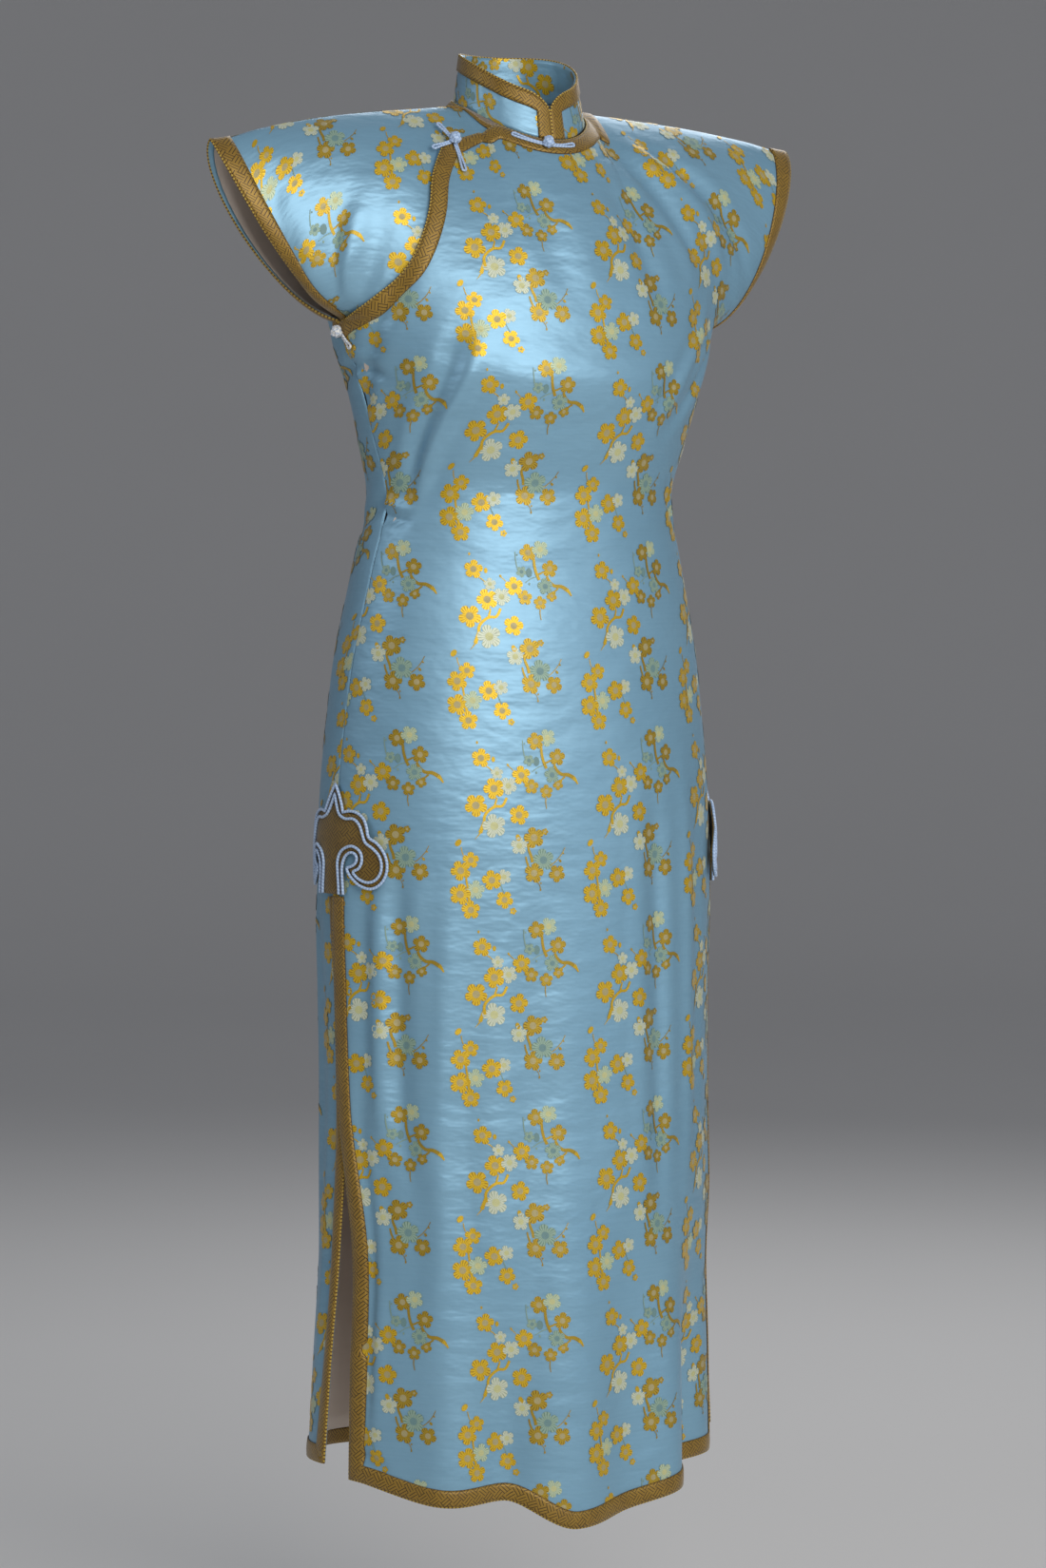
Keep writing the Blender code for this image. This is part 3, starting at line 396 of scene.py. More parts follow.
# Blossoms, then buds and leaves: spray, thread, millimetres across and up, radius and turn.
# Then branches and stems: spray, thread, width at the start and the end, and their paths.
SPRAY_BLOOMS = (
    ("plum", "bright", -15.5, 31.5, 7.8, 10),
    ("plum", "bright", -4.6, 5.0, 8.8, 40),
    ("plum", "bright", 20.4, 17.0, 7.8, 25),
    ("plum", "bright", -20.7, -10.1, 9.4, 55),
    ("plum", "bright", 17.8, -17.9, 8.3, 5),
    ("plum", "white", -1.5, 18.5, 5.2, 20),
    ("plum", "white", 8.4, 7.6, 7.3, 50),
    ("plum", "white", -4.6, -27.8, 9.9, 33),
    ("plum", "deep", 29.7, 7.1, 6.2, 15),
    ("plum", "green", 27.7, 30.0, 4.7, 60),
    ("drooping", "deep", -12.8, 12.9, 7.3, 30),
    ("drooping", "deep", 7.5, -1.1, 7.1, 12),
    ("drooping", "deep", 8.0, -25.1, 4.7, 50),
    ("drooping", "deep", -3.4, -31.3, 5.7, 20),
    ("drooping", "pale", -1.4, 16.0, 7.3, 45),
    ("drooping", "green", 2.3, -16.7, 6.8, 25),
    ("hanging", "deep", -6.4, 16.8, 8.8, 35),
    ("hanging", "deep", -6.4, -14.4, 8.3, 8),
    ("hanging", "deep", 15.4, -14.9, 7.3, 50),
    ("hanging", "white", -20.0, 9.6, 7.3, 15),
    ("hanging", "green", 2.4, -2.9, 9.4, 28),
    ("hanging", "deep", 4.0, 22.0, 2.9, 0),
    ("low plum", "bright", -6.0, 11.8, 6.8, 18),
    ("low plum", "bright", -14.9, 2.4, 8.3, 44),
    ("low plum", "bright", -15.4, -18.4, 8.8, 5),
    ("low plum", "bright", 12.7, -5.4, 8.3, 30),
    ("low plum", "bright", 24.1, -22.6, 7.3, 58),
    ("low plum", "bright", -6.0, -31.9, 7.8, 22),
    ("low plum", "pale", -1.9, -14.2, 7.8, 12),
    ("low plum", "white", 23.6, -2.3, 6.2, 36),
    ("low plum", "bright", 31.9, -32.4, 2.9, 0),
)
SPRAY_BUDS = (
    ("plum", "bright", -18.6, 45.0, 1.2, 0),
    ("plum", "bright", -4.6, 30.5, 2.1, 0),
    ("plum", "bright", 8.4, 25.8, 1.2, 30),
    ("plum", "green", 24.0, 44.8, 0.8, 0),
    ("drooping", "leaf", -12.3, -4.8, 3.6, 0),
    ("drooping", "green", -12.5, -14.7, 1.0, 0),
    ("hanging", "bright", -21.0, 16.8, 2.7, 20),
    ("hanging", "deep", 18.5, -3.7, 1.5, 40),
    ("hanging", "deep", 21.6, 2.8, 0.9, 40),
    ("hanging", "deep", 0.1, -23.3, 0.8, 0),
    ("hanging", "deep", -0.3, -29.1, 1.0, 0),
    ("low plum", "bright", -17.0, 26.8, 3.1, -40),
)
SPRAY_STRANDS = (
    ("plum", "bright", 2.7, 2.3, ((-12.9, -27.8), (-13.4, -20.5), (-10.3, -15.3), (-3.5, -10.6),
     (2.7, -10.1), (6.9, -2.8))),
    ("plum", "bright", 1.9, 1.2, ((-4.1, -10.1), (-2.7, -5.9), (-2.0, -2.8))),
    ("plum", "bright", 2.7, 3.5, ((-13.4, -24.1), (-15.2, -28.8), (-17.1, -34.0))),
    ("plum", "bright", 1.5, 0.3, ((-17.1, -34.0), (-18.6, -36.1), (-21.7, -39.7))),
    ("plum", "bright", 1.0, 0.8, ((-10.8, 24.2), (-8.2, 22.7), (-6.1, 20.6))),
    ("plum", "bright", 0.7, 0.7, ((8.7, 25.1), (11.0, 23.2), (13.1, 21.1))),
    ("plum", "bright", 1.7, 1.5, ((21.4, 12.8), (24.5, 9.7), (26.6, 8.1))),
    ("plum", "green", 0.8, 1.0, ((22.3, 47.6), (22.5, 40.9), (23.7, 33.6))),
    ("drooping", "deep", 2.3, 2.7, ((-7.6, 7.7), (-7.1, 1.5), (-5.5, -5.3), (-2.9, -11.0))),
    ("drooping", "deep", 1.7, 1.5, ((-4.5, -6.3), (-1.4, -5.3), (1.2, -3.7))),
    ("drooping", "deep", 2.3, 3.5, ((4.4, -7.9), (7.0, -12.6), (11.6, -16.2), (17.9, -16.7),
     (23.1, -19.3))),
    # The tuft at the end of the drooping branch takes the bright gold thread as a painted highlight
    # for the sheen of its floats.
    ("drooping", "bright", 4.0, 1.2, ((23.1, -19.3), (25.2, -21.4), (27.5, -25.1))),
    ("drooping", "deep", 1.7, 1.2, ((14.8, -18.3), (11.6, -20.9), (9.6, -22.5))),
    ("drooping", "green", 0.8, 0.7, ((-6.0, -8.4), (-10.7, -10.0), (-16.4, -13.8))),
    ("drooping", "deep", 1.0, 0.7, ((-3.7, -36.5), (-4.2, -40.7), (-3.4, -46.4))),
    ("hanging", "deep", 2.1, 2.7, ((-12.2, 11.6), (-11.1, 5.4), (-9.0, 0.2), (-8.0, -5.0))),
    ("hanging", "deep", 1.5, 1.9, ((-14.0, 0.2), (-13.2, -4.0), (-11.6, -8.1))),
    ("hanging", "deep", 0.8, 0.6, ((8.6, -8.1), (14.4, -4.0), (20.1, 2.3), (23.2, 8.0))),
    ("hanging", "deep", 0.6, 0.6, ((-3.3, -22.2), (-1.2, -24.8), (0.1, -28.9))),
    ("low plum", "bright", 1.9, 1.7, ((-9.7, 5.5), (-10.2, -1.8), (-9.4, -9.0), (-8.6, -13.2))),
    ("low plum", "bright", 0.8, 0.8, ((-14.4, 23.2), (-13.7, 19.0), (-12.5, 15.9))),
    ("low plum", "bright", 2.3, 2.7, ((-9.2, -12.2), (-8.1, -19.4), (-7.1, -24.6))),
    ("low plum", "green", 0.8, 0.8, ((20.5, -9.0), (22.0, -13.2), (23.6, -16.3))),
)

# Woven threads: name, bright colour, dark stripe colour, metal, roughness.
THREADS = (
    ("bright", (222, 184, 36), (150, 106, 20), 0.45, 0.38),
    ("deep", (190, 160, 48), (118, 82, 22), 0.55, 0.40),
    ("white", (206, 212, 190), (140, 156, 128), 0.20, 0.42),
    ("green", (150, 176, 158), (84, 118, 104), 0.20, 0.45),
    ("pale", (190, 204, 172), (120, 144, 112), 0.20, 0.42),
    ("leaf", (116, 150, 150), (88, 120, 120), 0.10, 0.45),
    ("gold_heart", (182, 172, 128), (158, 134, 70), 0.25, 0.45),
    ("pale_heart", (206, 204, 150), (170, 176, 120), 0.20, 0.45),
)
HEARTS = {"bright": "gold_heart", "deep": "gold_heart", "white": "pale_heart", "green": "leaf",
          "pale": "pale_heart"}

# Colours, as red, green and blue out of 255.
PAINT = {
    "satin light": (138, 180, 203),
    "satin dark": (116, 160, 186),
    "brocade light": (166, 132, 44),
    "brocade deep": (132, 100, 34),
    "brocade line": (50, 33, 12),
    "edge light": (190, 160, 66),
    "edge dark": (96, 62, 16),
    "cord light": (186, 208, 236),
    "cord dark": (120, 148, 190),
    "lining light": (214, 200, 188),
    "lining dark": (188, 172, 158),
    "knot light": (226, 226, 222),
    "seam": (84, 56, 22),
    "floor": (214, 212, 209),
}

SLOTS = {thread[0]: number for number, thread in enumerate(THREADS)}
THREAD_STRIPES = 12.56
THREAD_GAP = 0.90
OFF_CLOTH = 0.00005
MM = 0.001
# Blossoms: points round the heart and the rim, the heart's radius, the petals' reach, the
# share of it between two petals, and how square the petals are. Then the points of a bud.
HEART_POINTS = 20
RIM_POINTS = 40
HEART_REACH = 0.36
PETAL_REACH = 1.08
PETAL_NOTCH = 0.60
PETAL_ROUND = 0.45
BUD_POINTS = 8
# Clouds and frog buttons: a cloud's filling, then a knot's points, windings and cord.
FINE_CELL = 0.004
CLOUD_REACH = 0.06
KNOT_STEPS = 120
KNOT_TURNS = 3
KNOT_WAVES = 4
KNOT_CORD = 0.0012
KNOT_INSET = 0.0009
# Collar: columns round it and in its binding, rows below the binding, the gap between its
# front edges, and its half width at the binding.
COLLAR_AROUND = 150
COLLAR_BAND = 5
COLLAR_ROWS = 8
COLLAR_GAP = 0.0005
COLLAR_HALF = 0.064
# Creases of the collar: name, angle from the centre front, half width in radians, depth.
COLLAR_CREASES = (
    ("right front", -1.05, 0.10, -0.0009),
    ("right front ridge", -0.80, 0.10, 0.0006),
    ("left front", 0.95, 0.11, -0.0008),
    ("left side", 1.75, 0.13, -0.0010),
    ("right side", -1.95, 0.12, -0.0009),
    ("back right", -2.70, 0.14, -0.0008),
    ("back left", 2.55, 0.12, 0.0007),
)
# Where the motifs start on the other pieces, in metres on their flat cuts.
UNDER_START = (-0.150, 0.060)
BACK_START = (0.020, -0.060)
COLLAR_START = (0.010, -0.016)
COLLAR_INNER_START = (0.030, 0.030)
PANEL_NODES = {
    "front_silk": "front_panel",
    "right_front_silk": "right_front",
    "back_silk": "back_panel",
}

# Camera and studio: turn and pitch in degrees, lens and sensor in millimetres, the rest in
# metres. The floor runs far out and sweeps up into a wall beyond the dress.
VIEW_TURN = 30.0
VIEW_DISTANCE = 4.2
VIEW_SHIFT = 0.006
VIEW_HEIGHT = -0.413
VIEW_PITCH = 2.63
LENS = 106.6
SENSOR = 36.0
FLOOR = -1.45
FLOOR_REACH = 24.0
SWEEP_FROM = 7.0
SWEEP_RADIUS = 5.0
WALL_TOP = 14.0
AIM_HEIGHT = -0.6
AMBIENT = 0.26
AMBIENT_COLOUR = (0.86, 0.90, 1.0, 1.0)
EXPOSURE = 0.0
# Lights: name, place to the right of the camera's line, beyond the dress and up, size,
# power and colour.
LIGHTS = (
    ("key", (1.35, -3.0, 0.60), (2.4, 2.4), 82.0, (1.0, 0.98, 0.95)),
    ("side", (-2.7, -1.2, 0.9), (0.9, 1.1), 9.0, (0.95, 0.97, 1.0)),
    ("fill", (2.9, -1.6, -0.4), (1.4, 1.8), 6.0, (0.92, 0.96, 1.0)),
    ("back", (0.6, 2.6, 1.3), (1.8, 1.8), 34.0, (0.95, 0.97, 1.0)),
)


def tint(paint):
    """Linear colour of a named paint, or of red, green and blue out of 255."""
    linear = []
    for value in PAINT[paint] if isinstance(paint, str) else paint:
        share = value / 255.0
        linear.append(share / 12.92 if share <= 0.04045 else ((share + 0.055) / 1.055) ** 2.4)
    return tuple(linear)


# Reading the tables
def slope_at(table, column, k):
    if k in (0, len(table) - 1):
        return 0.0
    before = (table[k][column] - table[k - 1][column]) / (table[k][1] - table[k - 1][1])
    after = (table[k + 1][column] - table[k][column]) / (table[k + 1][1] - table[k][1])
    if before * after <= 0.0:
        return 0.0
    return 2.0 * before * after / (before + after)


def read(table, at, column=2):
    """Smooth value of a column where the table's second column has the value `at`."""
    if at <= table[0][1]:
        return table[0][column]
    if at >= table[-1][1]:
        return table[-1][column]
    k = max(i for i in range(len(table) - 1) if table[i][1] <= at)
    step = table[k + 1][1] - table[k][1]
    t = (at - table[k][1]) / step
    level = table[k][column] * (1 + 2 * t) * (1 - t) ** 2
    level += table[k + 1][column] * t * t * (3 - 2 * t)
    lean = slope_at(table, column, k) * t * (1 - t) ** 2
    lean -= slope_at(table, column, k + 1) * t * t * (1 - t)
    return level + step * lean


def ease(t):
    t = min(1.0, max(0.0, t))
    return t * t * (3 - 2 * t)


# The form of the cloth
def fold_depth(half, degrees, drop):
    depth = 0.0
    for _name, of_half, angle, spread, out, start, full in FOLDS:
        if of_half == half:
            away = (degrees - angle + 180.0) % 360.0 - 180.0
            depth += out * math.exp(-(away / spread) ** 2) * ease((drop - start) / (full - start))
    return depth


def lap_share(drop):
    return ease((drop - LAP_START) / LAP_RUN)


def slit_lap(half, share, drop):
    """The front's slit edge stands out just enough to lie over the back's."""
    if half == "back":
        return 0.0
    edge = ease((abs(share) - LAP_SHARE) / 0.12)
    return SLIT_LAP * edge * lap_share(drop) * (1 - ease((drop - LAP_END) / LAP_FADE))


def ring_point(half, share, drop):
    """Point of the body, a share across one half (-1 right edge, 1 left edge)."""
    if half == "front":
        degrees = share * read(SECTIONS, drop, FRONT_EDGE)
    else:
        sweep = 180.0 - read(SECTIONS, drop, BACK_EDGE)
        degrees = math.copysign(180.0, share) - share * sweep
    angle = math.radians(degrees)
    wide = read(SECTIONS, drop, FRONT_HALF if half == "front" else BACK_HALF)
    deep = read(SECTIONS, drop, FRONT_DEPTH if abs(degrees) < 90 else BACK_DEPTH)
    out = fold_depth(half, degrees, drop) + slit_lap(half, share, drop)
    across = (wide + out) * math.sin(angle)
    along = -(deep + out) * math.cos(angle) - read(SECTIONS, drop, SHIFT)
    return Vector((across, along, -drop))


def neck_point(angle):
    """Neck seam, the angle taken from the centre front."""
    forward = math.cos(angle)
    return Vector((NECK_HALF * math.sin(angle), -NECK_FORWARD - NECK_DEPTH * forward,
                   -NECK_FALL * forward - NECK_DIP * forward ** 2))


def top_point(half, share):
    if abs(share) <= NECK_SHARE:
        angle = math.radians(90.0 * share / NECK_SHARE)
        return neck_point(angle if half == "front" else math.pi - angle)
    side = 1 if share > 0 else -1
    out = (abs(share) - NECK_SHARE) / (1 - NECK_SHARE)
    tip = SLEEVE_TIP[side]
    across = side * NECK_HALF + (tip[0] - side * NECK_HALF) * out
    fall = read(SHOULDER, out) * abs(tip[2]) / SHOULDER[-1][2]
    return Vector((across, -NECK_FORWARD * (1 - out), -fall))


def high_point(half, share, rise):
    """Point above the underarm: rise is 0 there and 1 on the shoulder or neck seam."""
    face = -1 if half == "front" else 1
    side = 1 if share > 0 else -1
    low = ring_point(half, share, UNDERARM_DROP)
    below = ring_point(half, share, UNDERARM_DROP + BELOW_STEP)
    top = top_point(half, share)
    mouth = ease((abs(share) - MOUTH_SHARE) / (1.0 - MOUTH_SHARE))
    start = (low - below) * (UNDERARM_DROP / BELOW_STEP)
    out, forward, up = MOUTH_START
    start = start.lerp(Vector((side * out, face * forward, up)), mouth)
    beside_neck = 1.0 - math.cos(math.radians(90.0 * min(1.0, abs(share) / NECK_SHARE)))
    shoulder_end = Vector((0.0, -face * SHOULDER_END[0], SHOULDER_END[1]))
    mouth_end = Vector((0.0, -face * MOUTH_END[0], MOUTH_END[1]))
    end = Vector(NECK_ENDS[half]).lerp(shoulder_end.lerp(mouth_end, mouth), beside_neck)
    t = rise
    return (low * ((1 + 2 * t) * (1 - t) ** 2) + start * (t * (1 - t) ** 2)
            + top * (t * t * (3 - 2 * t)) - end * (t * t * (1 - t)))


def hem_drop(half, share):
    if half == "front":
        return read(FRONT_HEM, FRONT_SWEEP * share)
    return read(BACK_HEM, 90.0 + 90.0 * share)


def plain_point(half, share, level):
    """Place on the uncreased form: level 1 is the underarm and 2 the shoulder line or neck seam."""
    shift = Vector((0.0, -SEAM_SHIFT if half == "front" else SEAM_SHIFT, 0.0))
    if level > 1:
        return high_point(half, share, level - 1) + shift
    return ring_point(half, share, UNDERARM_DROP + (1.0 - level) * CHEST_RISE) + shift


# Fine cloth
def outward(half, share, level):
    """Rough outward direction, good enough for a crease of a few millimetres."""
    degrees = share * 88.0 if half == "front" else 180.0 - share * 92.0
    if half == "back" and share < 0:
        degrees = -180.0 - share * 92.0
    angle = math.radians(degrees)
    ring = Vector((math.sin(angle) / 0.17, -math.cos(angle) / 0.115, 0.0)).normalized()
    if level > 1.0:
        rise = level - 1.0
        ring = (ring * (1.0 - 0.75 * rise) + Vector((0.0, 0.0, rise))).normalized()
    return ring


def crease_depth(half, share, level):
    """How far the creases move the cloth outwards there."""
    across = share * HALF_GIRTH
    up = level * CHEST_RISE
    depth = 0.0
    for _name, of_half, share_a, level_a, share_b, level_b, wide, out in CREASES:
        if of_half != half:
            continue
        ax, ay = share_a * HALF_GIRTH, level_a * CHEST_RISE
        bx, by = share_b * HALF_GIRTH - ax, level_b * CHEST_RISE - ay
        t = ((across - ax) * bx + (up - ay) * by) / (bx * bx + by * by)
        if t < -CREASE_TAIL or t > 1.0 + CREASE_TAIL:
            continue
        away = ((across - ax) * by - (up - ay) * bx) / math.hypot(bx, by) / wide
        if abs(away) > CREASE_REACH:
            continue
        ends = ease((t + CREASE_TAIL) / CREASE_FADE)
        ends *= ease((1.0 + CREASE_TAIL - t) / CREASE_FADE)
        beside = math.exp(-(abs(away) - 1.7) ** 2)
        depth += out * ends * (math.exp(-away * away) - 0.35 * beside)
    return depth * CREASE_GAIN


def cloth_point(half, share, level):
    """Place on the creased cloth; level 1 is the underarm and 2 the shoulder or neck seam."""
    still = 1.0 - ease((level - CREASE_STILL) / 0.1)
    depth = crease_depth(half, share, level) * still
    point = plain_point(half, share, level)
    return point + outward(half, share, level) * depth if depth else point


def cloth_normal(half, share, level):
    """Outward normal of the cloth at that place."""
    a = min(1.0, max(-1.0, share - CHECK_STEP))
    b = min(1.0, max(-1.0, share + CHECK_STEP))
    c = level - CHECK_STEP
    d = min(2.0, max(0.0, level + CHECK_STEP))
    across = cloth_point(half, b, level) - cloth_point(half, a, level)
    upward = cloth_point(half, share, d) - cloth_point(half, share, c)
    normal = across.cross(upward)
    if half == "back":
        normal = -normal
    return normal.normalized()


def moved(half, share, level, out):
    return cloth_point(half, share, level) + cloth_normal(half, share, level) * out


def band_inner(half, before, at, after, width):
    """Place on the cloth a binding's width inside an edge that runs before, at, after."""
    points = [cloth_point(half, *place) for place in (before, at, after)]
    first = (points[1] - points[0]).normalized() if before != at else None
    second = (points[2] - points[1]).normalized() if after != at else None
    along = ((first or second) + (second or first)).normalized()
    inward = along.cross(cloth_normal(half, *at)).normalized()
    if half == "back":
        inward = -inward
    mitre = along.dot(first or second)
    share_side = -CHECK_STEP if at[0] > 0 else CHECK_STEP
    by_share = (cloth_point(half, at[0] + share_side, at[1]) - points[1]) / share_side
    by_level = (points[1] - cloth_point(half, at[0], at[1] - CHECK_STEP)) / CHECK_STEP
    wanted = inward * (width / max(0.6, mitre))
    a, b, c = by_share.dot(by_share), by_share.dot(by_level), by_level.dot(by_level)
    p, q = by_share.dot(wanted), by_level.dot(wanted)
    area = a * c - b * b
    share = at[0] + (c * p - b * q) / area
    level = at[1] + (a * q - b * p) / area
    return (min(1.0, max(-1.0, share)), min(2.0, level))


def under_depth(share, level):
    """How far the right front lies inside the outer one."""
    edge = [(name, top, up) for name, _low, top, up in FRONT_COLUMNS[:FLAP_CORNER + 3]]
    above = level - read(edge, share)
    return UNDER_DEPTH * (1.0 - ease((above - 0.05) / 0.22))


# Collar
def collar_share(angle):
    """Share of the full height: the front corners are cut round."""
    run = min(1.0, abs(angle) * NECK_HALF / COLLAR_CORNER)
    round_share = math.sqrt(max(0.0, 1.0 - (1.0 - run) ** 2))
    return CORNER_SHARE + (1.0 - CORNER_SHARE) * round_share


def collar_point(angle, height):
    """Point of the collar, the angle from the centre front, height 0 seam to 1 rim."""
    seam = neck_point(angle)
    inset = 1.0 - COLLAR_INSET / NECK_HALF
    low = Vector((seam.x * inset, seam.y * inset, seam.z + COLLAR_RAISE))
    rim = Vector((RIM_HALF * math.sin(angle), -RIM_FORWARD - RIM_DEPTH * math.cos(angle),
                  seam.z + COLLAR_HEIGHT))
    return low.lerp(rim, height * collar_share(angle))


# Cloud appliques and their piping
def cloud_point(side, across, drop, out):
    """Point over the side seam, `across` measured forwards from the seam."""
    edge = read(SECTIONS, drop, FRONT_EDGE)
    angle = math.radians(edge)
    wide = read(SECTIONS, drop, FRONT_HALF)
    turn = across / read(SECTIONS, drop, FRONT_DEPTH)
    for _pass in range(3):
        middle = angle - turn * 0.5
        deep = read(SECTIONS, drop, FRONT_DEPTH if middle < math.pi / 2 else BACK_DEPTH)
        turn = across / math.hypot(wide * math.cos(middle), deep * math.sin(middle))
    angle -= turn
    deep = read(SECTIONS, drop, FRONT_DEPTH if angle < math.pi / 2 else BACK_DEPTH)
    lap = SLIT_LAP * lap_share(drop) * ease((0.050 + across) / 0.030)
    reach = out + lap
    point = Vector((wide * math.sin(angle), -deep * math.cos(angle), 0.0))
    normal = Vector((math.sin(angle) / wide, -math.cos(angle) / deep, 0.0)).normalized()
    point += normal * reach
    return Vector((side * point.x, point.y - read(SECTIONS, drop, SHIFT), -drop))


def cloud_path(table):
    """Both halves of a path that starts at the cloud's tip, from one stem foot to the other."""
    half = [(across, down) for _name, across, down in table]
    return half[:0:-1] + [(-across, down) for across, down in half]


def hem_level(half, share):
    return 1.0 - (hem_drop(half, share) - UNDERARM_DROP) / CHEST_RISE


def column_reader(value):
    """Smooth value of a front column's entry at any place between two columns."""
    table = [(row[0], k, row[value]) for k, row in enumerate(FRONT_COLUMNS)]
    return lambda place: read(table, place)


LOW_SHARE = column_reader(1)
TOP_SHARE = column_reader(2)
TOP_LEVEL = column_reader(3)


def front_place(column, rise):
    """Share and level on the outer front, rise 0 at the hem and 1 at its upper edge."""
    low = LOW_SHARE(column)
    top = TOP_LEVEL(column)
    hem = hem_level("front", low)
    level = hem + (top - hem) * rise
    lean = ease((level - LEAN_FROM) / (top - LEAN_FROM)) if level > LEAN_FROM else 0.0
    return low + (TOP_SHARE(column) - low) * lean, level


def back_place(share, rise):
    hem = hem_level("back", share)
    return share, hem + (2.0 - hem) * rise


def under_place(share, rise):
    low = read(UNDER_EDGE, share)
    return share, low + (2.0 - low) * rise


def spread(start, end, count):
    return [start + (end - start) * k / count for k in range(count + 1)]


def front_lines():
    """Column numbers of the fine front, evenly spread along the hem."""
    lines = []
    for k in range(len(FRONT_COLUMNS) - 1):
        gap = max(FRONT_COLUMNS[k + 1][1] - FRONT_COLUMNS[k][1], FINE_GAP)
        count = max(2, round(gap / FINE_SHARE))
        lines += [k + step for step in spread(0.0, 1.0, count)[:-1]]
    return lines + [len(FRONT_COLUMNS) - 1.0]


def place_grid(place, lines, rows):
    return [[place(line, rise) for rise in spread(0.0, 1.0, rows)] for line in lines]


def point_grid(half, places, depth=None):
    """Array of points for a grid of places, moved in by depth(share, level) where given."""
    grid = []
    for column in places:
        grid.append([])
        for share, level in column:
            if depth is None:
                grid[-1].append(cloth_point(half, share, level))
            else:
                grid[-1].append(moved(half, share, level, -depth(share, level)))
    return np.array(grid)


def array_normals(points, flip):
    along = np.gradient(points, axis=0)
    upward = np.gradient(points, axis=1)
    normals = np.cross(along, upward)
    length = np.linalg.norm(normals, axis=2, keepdims=True)
    normals = normals / np.maximum(length, 1e-12)
    return -normals if flip else normals


# Flat cut: how wide and tall the cloth is before it goes round the body
class Cut:
    """Flat position of any place on one half, in metres from the centre line and the underarm."""

    def __init__(self, half):
        shares = np.linspace(-1.0, 1.0, CUT_SHARES)
        levels = np.linspace(CUT_LOW, CUT_HIGH, CUT_LEVELS)
        points = np.array([[plain_point(half, s, lv) for lv in levels] for s in shares])
        across = np.linalg.norm(np.diff(points, axis=0), axis=2)
        across = np.concatenate([np.zeros((1, across.shape[1])), np.cumsum(across, axis=0)])
        up = np.linalg.norm(np.diff(points, axis=1), axis=2)
        up = np.concatenate([np.zeros((up.shape[0], 1)), np.cumsum(up, axis=1)], axis=1)
        self.across = across - across[CUT_SHARES // 2]
        start = int(np.argmin(abs(levels - 1.0)))
        self.up = up - up[:, start:start + 1]

    def at(self, places):
        places = np.array(places)
        last_share, last_level = CUT_SHARES - 1.0, CUT_LEVELS - 1.0
        i = np.clip((places[..., 0] + 1.0) * last_share / 2.0, 0, last_share - 0.001)
        rise = (places[..., 1] - CUT_LOW) / (CUT_HIGH - CUT_LOW)
        j = np.clip(rise * last_level, 0, last_level - 0.001)
        i0, j0 = i.astype(int), j.astype(int)
        s, t = i - i0, j - j0
        flat = []
        for table in (self.across, self.up):
            flat.append(table[i0, j0] * (1 - s) * (1 - t) + table[i0 + 1, j0] * s * (1 - t)
                        + table[i0, j0 + 1] * (1 - s) * t + table[i0 + 1, j0 + 1] * s * t)
        return np.stack(flat, axis=-1)


# Meshes
def new_piece(name, mesh):
    piece = bpy.data.objects.new(name, mesh)
    bpy.context.scene.collection.objects.link(piece)
    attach(piece, "root")
    return piece


def mesh_from(name, points, faces, flat=None, materials=(), slots=None):
    mesh = bpy.data.meshes.new(name)
    mesh.from_pydata([tuple(p) for p in points], [], faces)
    if flat is not None:
        layer = mesh.uv_layers.new(name="cut")
        loops = np.zeros(len(mesh.loops), dtype=np.int32)
        mesh.loops.foreach_get("vertex_index", loops)
        layer.data.foreach_set("uv", np.asarray(flat, dtype=np.float32)[loops].ravel())
    for material in materials:
        mesh.materials.append(material)
    if slots is not None:
        mesh.polygons.foreach_set("material_index", np.asarray(slots, dtype=np.int32))
    mesh.shade_smooth()
    mesh.update()
    return mesh


def used_only(faces):
    """Numbers of the points that the faces use, and the faces numbered after them."""
    used = sorted({k for face in faces for k in face})
    place = {k: n for n, k in enumerate(used)}
    return used, [tuple(place[k] for k in face) for face in faces]


def grid_faces(columns, rows, flip):
    faces = []
    for i in range(columns - 1):
        for j in range(rows - 1):
            a = i * rows + j
            b = a + rows
            face = (a, b, b + 1, a + 1)
            faces.append(face[::-1] if flip else face)
    return faces


def thicken(piece, thickness, outside=False):
    wall = piece.modifiers.new("Wall", "SOLIDIFY")
    wall.thickness = thickness
    wall.offset = 1.0 if outside else -1.0
    wall.use_even_offset = False


def cloth(name, points, flat, thickness, material, flip=False):
    """Sheet through a grid of points, with its flat cut as its UV map."""
    columns, rows = points.shape[:2]
    faces = grid_faces(columns, rows, flip)
    mesh = mesh_from(name, points.reshape(-1, 3), faces, flat.reshape(-1, 2), [material])
    piece = new_piece(name, mesh)
    thicken(piece, thickness)
    return piece


